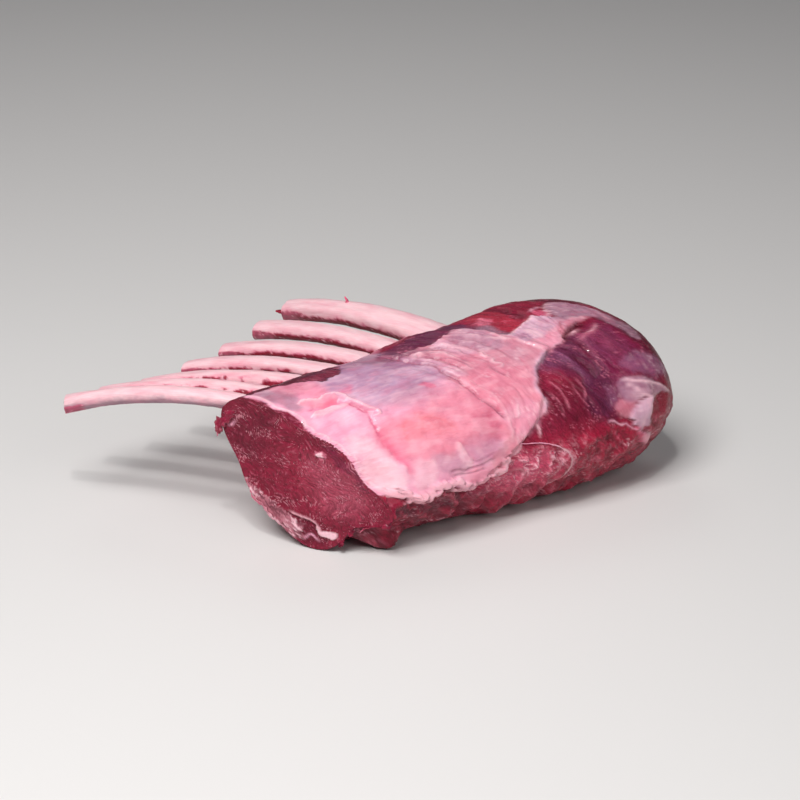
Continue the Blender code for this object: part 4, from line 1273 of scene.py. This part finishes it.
@dataclass(frozen=True)
class Rib:
    """One frenched rib: a flat, curved bone scraped clean, sawn off at its tip.

    Widths and depths are those at the root, half way and at the tip.
    """

    number: int
    slant: float
    crest: float
    height: float
    bend: float
    tip: float
    width: tuple[float, float, float]
    depth: tuple[float, float, float]
    residue: float = 0.6        # how much dark meat is left along its sides
    scraped: float = 112.0      # degrees from its top down to which it is scraped clean
    groove: float = 0.0
    skew: float = 0.0           # slant of the sawn end
    pitch: float = 21.5
    first: float = 8.5
    root: float = 36.0
    rings: int = 130
    points: int = 44
    sawn: float = 0.5           # rounding of the sawn end

    def axis(self, reach: Array) -> tuple[Array, Array, Array]:
        """Middle line of the bone, the way up from it and the way across it.

        Args:
            reach: Distances out from the meat's middle.

        Returns:
            Middles, up directions and across direction.
        """
        turned = math.radians(self.slant)
        out = np.array((-math.sin(turned), math.cos(turned), 0.0))
        across = np.array((math.cos(turned), math.sin(turned), 0.0))
        rise = self.height - (reach - self.crest) ** 2 / (2.0 * self.bend)
        start = np.array((self.first + self.pitch * (self.number - 1), 0.0, 0.0))
        middle = start + out * reach[:, None] + np.array((0.0, 0.0, 1.0)) * rise[:, None]
        lean = (reach - self.crest) / self.bend * step((self.tip - reach) / 14.0)
        up = np.array((0.0, 0.0, 1.0)) + out * lean[:, None]
        return middle, up / np.linalg.norm(up, axis=1)[:, None], across

    def build(self, finish: bpy.types.Material) -> None:
        """Build and dress the bone.

        Args:
            finish: Material it takes.
        """
        n = self.points
        reach = np.linspace(self.root, self.tip - self.sawn, self.rings)
        reach = np.append(reach, (self.tip - self.sawn * 0.2, self.tip, self.tip, self.tip, self.tip))
        shrink = np.append(np.ones(self.rings), (0.995, 0.97, 0.94, 0.6, 0.3))
        middle, up, across = self.axis(reach)
        share = (reach - self.root) / (self.tip - self.root)
        half = [np.interp(share, (0.0, 0.5, 1.0), sizes) / 2.0 for sizes in (self.width, self.depth)]
        angle = np.linspace(0.0, 2.0 * math.pi, n, endpoint=False)
        ring, spoke = (grid.ravel() for grid in np.meshgrid(reach, angle, indexing="ij"))
        shrink, share, half_w, half_d = (np.repeat(values, n) for values in (shrink, share, *half))
        blunt = (np.abs(np.cos(spoke)) ** 2.5 + np.abs(np.sin(spoke)) ** 2.5) ** (-1.0 / 2.5)
        side, top = np.cos(spoke) * blunt, np.sin(spoke) * blunt
        seed = 40 + self.number * 7
        body = np.stack([ring, half_w * side, half_d * top], axis=1)
        around = np.degrees(spoke)
        lump = 0.30 * noise(body, (26.0, 5.0, 5.0), seed) + 0.12 * noise(body, (5.0, 2.5, 2.5), seed + 1)
        lump -= 0.35 * bump(turn(around, 212.0), 16.0)
        dip = self.groove * bump(around - 118.0, 16.0) + 0.5 * bump(around - 262.0, 26.0)
        swell = shrink * (1.0 + (lump - dip) / half_d)
        points = (np.repeat(middle, n, axis=0) + across * (half_w * side * swell)[:, None]
                  + np.repeat(up, n, axis=0) * (half_d * top * swell)[:, None])
        oblique = self.skew * half_w * side * step((ring - self.tip + 14.0) / 14.0)
        points -= np.outer(oblique, np.cross(across, (0.0, 0.0, 1.0)))
        tip, root = len(points), len(points) + 1
        faces = [face[::-1] for face in tube(len(reach), n, tip)]
        faces += [(j, (j + 1) % n, root) for j in range(n)]
        tint = self._tint(body, around, share, shrink, seed)
        tint = np.vstack([tint, tint[-n:].mean(axis=0), tint[:n].mean(axis=0)])
        lay = np.vstack([np.stack([spoke * half_w, ring], axis=1), (0.0, self.tip), (0.0, self.root)])
        make_piece(f"bone_{self.number}", np.vstack([points, middle[-1:], middle[:1]]), faces,
                   {"tint": tint, "lay": lay}, finish, f"rib_{self.number}")

    def _tint(self, body: Array, around: Array, share: Array, shrink: Array, seed: int) -> Array:
        """Cream on top, pink below, dark shreds of meat down the sides, blood at the sawn end, and painted grey
        shade low on a rib scraped clean.

        Args:
            body: Places on the bone, along, across and up from its middle line.
            around: Their direction round it, in degrees.
            share: How far out along it they lie.
            shrink: How far the sawn end has drawn in there.
            seed: Number that fixes its pattern.

        Returns:
            One colour for each place.
        """
        patchy = noise(body, (14.0, 4.0, 4.0), seed + 2)
        down = np.abs(turn(around, 90.0))
        low = down - self.scraped + 9.0 * noise(body, (9.0, 4.0, 4.0), seed + 3)
        low = low + 11.0 * noise(body, (2.8, 1.6, 1.6), seed + 6)
        end = step((share - 0.98 + 0.11 * step((down - 40.0) / 60.0) + 0.04 * patchy) / 0.05)
        low = low + 36.0 * end * step((down - 50.0) / 40.0)
        clean = self.residue < 0.0
        pink = 0.12 + 0.35 * step((low + 50.0) / 50.0) * (self.residue > 0.0) + 0.4 * patchy
        left = step((self.residue + 0.9 * noise(body, (7.0, 9.0, 9.0), seed + 4)) / 0.3)
        left = np.maximum(left, end)
        dark = (0.5 if clean else 0.97) * (1.0 - 0.55 * end)
        clot = step(noise(body, (4.0, 2.0, 2.0), seed + 7, 2) * 2.0 + 0.3)
        crumb = step(noise(body, (2.6, 1.6, 1.6), seed + 5, 2) * 3.0 - 1.4)
        tint = np.tile(Tone.BONE.lit, (len(body), 1))
        for tone, strength in (
                # painted shade: a rib scraped clean is greyed along its lower side
                (Tone.ASH, 0.9 * clean * step((low + 68.0) / 74.0)),
                (Tone.BONE_PINK, np.clip(pink, 0.0, 1.0)),
                (Tone.ROSE, 0.55 * step((low + 15.0) / 14.0) * left),
                (Tone.FLUSH, 0.6 * step((low + 6.0) / 6.0) * left),
                (Tone.CRIMSON, dark * step((low + 1.0) / 6.0) * left),
                (Tone.CLOT, 0.35 * clot * step((low - 8.0) / 10.0) * left),
                (Tone.FAT, 0.6 * crumb * step((low + 10.0) / 8.0) * left),
                (Tone.MARROW, 0.8 * step((0.95 - shrink) / 0.05)),
                (Tone.DEEP, 0.6 * step((0.75 - shrink) / 0.3))):
            tint = blend(tint, tone.lit, strength)
        return tint


RIBS = (
    Rib(1, 35.0, 62.0, 70.6, 231.0, 150.0, (9.6, 9.5, 9.8), (8.5, 8.0, 9.2), -0.9, 118.0, skew=0.36),
    Rib(2, 33.0, 64.0, 66.8, 254.0, 155.0, (12.0, 10.0, 9.5), (8.5, 7.5, 8.0), 0.15, 52.0),
    Rib(3, 31.0, 62.0, 65.3, 238.0, 155.5, (12.0, 11.0, 10.0), (8.5, 7.5, 8.0), 0.2, 54.0),
    Rib(4, 28.0, 66.0, 63.9, 256.0, 155.0, (12.0, 11.0, 10.0), (8.5, 7.8, 8.0), 0.4, 87.0),
    Rib(5, 25.0, 76.0, 62.5, 255.0, 158.5, (13.0, 12.0, 11.0), (9.0, 8.2, 8.6), 0.9, 84.0),
    Rib(6, 22.0, 94.0, 61.2, 269.0, 164.0, (15.0, 13.5, 12.0), (10.5, 9.6, 10.0), 1.3, 88.0),
    Rib(7, 19.0, 100.0, 63.6, 266.0, 173.5, (25.0, 18.5, 12.0), (14.5, 13.0, 11.8), 1.3, 103.0, 0.7),
)


# --- shreds -----------------------------------------------------------------

@dataclass(frozen=True)
class Shred:
    """Loose shred of membrane, fat or meat: a tapered, flattened and crumpled strand."""

    name: str
    tone: Tone
    path: Path | Array
    width: float
    thickness: float
    tip_tone: Tone | None = None
    up: tuple[float, float, float] = (0.0, 0.0, 1.0)
    crumple: float = 0.25
    ragged: float = 0.0         # how deeply its edges are torn
    blunt: float = 0.45         # 0 keeps its full width to the ends
    fleck: float = 0.0
    cover: float = 1.0
    points: int = 14

    def build(self, finish: bpy.types.Material, seed: int) -> None:
        """Build and dress the shred.

        Args:
            finish: Material it takes.
            seed: Number that fixes its crumples.
        """
        n = self.points
        line = np.array(rounded(self.path, cuts=8))
        tangent = np.gradient(line, axis=0)
        tangent /= np.linalg.norm(tangent, axis=1)[:, None]
        side = np.cross(tangent, np.array(self.up))
        side /= np.linalg.norm(side, axis=1)[:, None]
        normal = np.cross(tangent, side)
        run = np.linspace(0.0, 1.0, len(line))
        taper = np.maximum(np.sin(math.pi * (0.03 + 0.94 * run)), 0.02) ** self.blunt
        angle = np.linspace(0.0, 2.0 * math.pi, n, endpoint=False)
        at, spoke = (grid.ravel() for grid in np.meshgrid(np.arange(len(line)), angle, indexing="ij"))
        run, taper = run[at], taper[at]
        wide = self.width / 2.0 * taper * np.cos(spoke)
        tear = noise(np.stack([run * 40.0, np.sign(wide) * 9.0], axis=1), 4.0, seed + 8, 2)
        wide = wide * (1.0 + self.ragged * tear * np.abs(np.cos(spoke)))
        thick = self.thickness / 2.0 * taper * np.sin(spoke)
        points = line[at] + side[at] * wide[:, None] + normal[at] * thick[:, None]
        scale = max(0.8, self.width * 0.6)
        shift = np.stack([noise(points, scale, seed + k, 2) for k in range(3)], axis=1)
        points = points + shift * self.crumple * np.minimum(1.0, taper)[:, None]
        tint = np.tile(self.tone.lit, (len(points), 1))
        if self.tip_tone is not None:
            tint = blend(tint, self.tip_tone.lit, step((run - 0.35) / 0.5))
        tint *= (1.0 + 0.25 * noise(points, scale, seed + 5))[:, None]
        if self.ragged:
            rim = step((np.abs(np.cos(spoke)) - 0.75) / 0.2 + 0.6 * noise(points, 1.5, seed + 9))
            tint = blend(tint, Tone.FAT.lit, 0.5 * rim * self.cover)
        marks = {"tint": np.clip(tint, 0.0, 1.0),
                 "fabric": np.tile((self.cover, self.fleck, 0.0), (len(points), 1)),
                 "lay": np.stack([wide, run * 20.0], axis=1)}
        last = len(points) - n
        faces = tube(len(line), n) + [tuple(range(n))[::-1], tuple(range(last, last + n))]
        make_piece(self.name, points, faces, marks, finish)


def skin_path(*places: tuple[float, float, float]) -> Path:
    """Points over the skin, from distance along, direction and height above it."""
    along, angle, lift = np.array(places, float).T
    return tuple(tuple(p) for p in LAYOUT.surface(along, angle, lift))


def shreds() -> list[Shred]:
    """Every loose shred of the rack."""
    end = RIBS[6].axis(np.array((132.0, 134.0, 138.0, 172.0)))[0]
    whisker = end[0] + np.array((0.0, 0.0, 4.0))
    tag = end[3] + np.array((-2.0, 1.0, 0.5))
    return [
        Shred("whisker", Tone.ROSE, whisker + ((0.0, 0.0, 0.0), (0.5, 0.5, 3.0), (-0.5, 1.5, 5.5)),
              2.2, 1.2, Tone.HOT),
        Shred("rib_tag", Tone.MUSCLE, tag + ((0.0, 0.0, 0.0), (-1.5, 1.0, -1.5), (-4.5, 3.5, -1.0)),
              3.4, 2.0, Tone.CRIMSON, cover=0.0),
        Shred("corner_scrap", Tone.MUSCLE,
              ((-28.0, 40.0, 69.0), (-31.0, 45.0, 63.0), (-33.0, 47.0, 58.0), (-33.0, 46.5, 55.5)),
              6.5, 2.4, Tone.FRESH, (1.0, 0.0, 0.2), 0.9, 1.1, 0.5, fleck=0.6, cover=0.2),
        Shred("corner_edge", Tone.MUSCLE,
              ((-28.5, 40.0, 66.5), (-31.5, 45.0, 62.0), (-33.5, 47.5, 57.5), (-34.0, 46.5, 54.5)),
              1.6, 0.7, Tone.ROSE, (1.0, 0.3, 0.0), 0.6, 1.0, fleck=0.4, cover=0.2),
        Shred("cut_shred", Tone.MUSCLE, skin_path((0.0, 214, 0.0), (-1.5, 217, 0.5), (-2.0, 221, 2.5)),
              1.2, 0.6, Tone.ROSE),
        Shred("membrane_loop", Tone.BLUSH,
              skin_path((75, 176, 0.3), (87, 179, 1.0), (96, 184, 1.0), (100, 190, 0.2)), 0.9, 0.5, Tone.FAT),
        Shred("rim_membrane", Tone.ROSE,
              skin_path((0.3, 340, -0.4), (-0.4, 325, 0.3), (0.0, 312, -0.2), (-0.5, 299, 0.3), (0.2, 288, -0.4)),
              2.6, 0.35, Tone.FAT, (1.0, 0.0, 0.0), 0.5, 1.3),
        *(Shred(f"tatter_{number}", tone,
                skin_path((2.5, at, -1.2), (0.2, at + 2.0, 0.2), (-0.6, at + lean, 0.9)),
                wide, 0.6, tip, (1.0, 0.0, 0.0), 0.5, 0.5, fleck=0.4, cover=0.0)
          for number, (at, lean, wide, tone, tip) in enumerate((
              (185.0, 4.0, 4.5, Tone.FRESH, Tone.MUSCLE), (193.0, 5.0, 4.0, Tone.MUSCLE, Tone.FRESH),
              (203.0, 6.0, 3.5, Tone.DEEP, Tone.MUSCLE), (226.0, 6.0, 4.0, Tone.DEEP, Tone.MUSCLE),
              (239.0, 5.0, 3.5, Tone.MUSCLE, Tone.DEEP)), 1)),
    ]


# --- the studio -------------------------------------------------------------

@dataclass(frozen=True)
class Light:
    """One soft light: a panel aimed at the meat."""

    name: str
    turn: float         # degrees round from the front, to the right
    tilt: float         # degrees above the floor
    distance: float     # metres
    width: float        # metres
    watts: float

    def build(self, target: Vector) -> None:
        """Hang the light.

        Args:
            target: Point it is aimed at.
        """
        away = aside(self.turn, self.tilt)
        panel = bpy.data.lights.new(self.name, "AREA")
        panel.shape, panel.size, panel.energy = "DISK", self.width, self.watts
        lamp = bpy.data.objects.new(self.name, panel)
        lamp.location = target + away * self.distance
        lamp.rotation_euler = away.to_track_quat("Z", "Y").to_euler()
        bpy.context.scene.collection.objects.link(lamp)


@dataclass(frozen=True)
class Studio:
    """Pale floor, soft light and the camera."""

    floor_tone: str = "#D9D6D4"
    air_tone: str = "#E8EAF0"
    air: float = 0.12
    turn: float = -35.0
    tilt: float = 25.0
    distance: float = 1.1
    lens: float = 99.0
    aim: tuple[float, float, float] = (-2.5, -42.4, 14.5)       # millimetres from the rack's middle
    lights: tuple[Light, ...] = (
        Light("key", -62.0, 55.0, 1.3, 0.7, 16.5),
        Light("front", 5.0, 35.0, 1.6, 0.9, 4.0),
        Light("rim", 165.0, 50.0, 1.4, 0.7, 1.5),
        Light("spark", -40.0, 62.0, 1.5, 0.09, 3.5),
    )

    def build(self) -> None:
        """Set the floor, the light and the camera round the rack."""
        low, high = CAD_BOX
        middle = (low + high) / 2.0
        self._floor(low.z)
        for light in self.lights:
            light.build(middle)
        world = bpy.data.worlds.new("studio")
        world.use_nodes = True
        tree = world.node_tree
        tree.nodes.clear()
        air = add(tree, "Background", {"Color": linear(self.air_tone), "Strength": self.air})
        add(tree, "OutputWorld", {"Surface": air})
        bpy.context.scene.world = world
        bpy.context.scene.view_settings.view_transform = "Standard"
        self._camera(middle + Vector(self.aim) * MM)

    def _floor(self, height: float) -> None:
        """Lay the floor just under the rack.

        Args:
            height: Its height in metres.
        """
        mesh = bpy.data.meshes.new("floor")
        reach = 4.0
        mesh.from_pydata([(-reach, -reach, height), (reach, -reach, height), (reach, reach, height),
                          (-reach, reach, height)], [], [(0, 1, 2, 3)])
        made = blank("floor")
        tree = made.node_tree
        # a matt sweep, slightly clouded so that it isn't dead flat
        cloud = add(tree, "TexNoise", {"Scale": 3.0, "Detail": 2.0})
        share = add(tree, "MapRange", {"Value": cloud, "To Min": 0.97, "To Max": 1.0})
        colour = add(tree, "Mix", {0: 1.0, 6: linear(self.floor_tone), 7: share},
                     data_type="RGBA", blend_type="MULTIPLY")
        shader = add(tree, "BsdfPrincipled", {"Base Color": colour, "Roughness": 0.6})
        add(tree, "OutputMaterial", {"Surface": shader})
        mesh.materials.append(made)
        floor = bpy.data.objects.new("floor", mesh)
        bpy.context.scene.collection.objects.link(floor)

    def _camera(self, target: Vector) -> None:
        """Point the camera.

        Args:
            target: Point it looks at.
        """
        back = aside(self.turn, self.tilt)
        lens = bpy.data.cameras.new("camera")
        lens.lens, lens.sensor_width, lens.clip_start = self.lens, 36.0, 0.01
        camera = bpy.data.objects.new("camera", lens)
        camera.location = target + back * self.distance
        camera.rotation_euler = back.to_track_quat("Z", "Y").to_euler()
        bpy.context.scene.collection.objects.link(camera)
        bpy.context.scene.camera = camera


def main() -> None:
    """Build the rack and the studio round it."""
    logging.basicConfig(level=logging.INFO, format="%(name)s: %(message)s")
    meat = MeatFinish().make("raw_venison")
    bone = BoneFinish().make("rib_bone")
    skin = Skin()
    skin.build(meat)
    CutFace().build(skin, meat)
    for rib in RIBS:
        rib.build(bone)
    for number, shred in enumerate(shreds()):
        shred.build(meat, 200 + 10 * number)
    Studio().build()


if __name__ == "__main__":
    main()
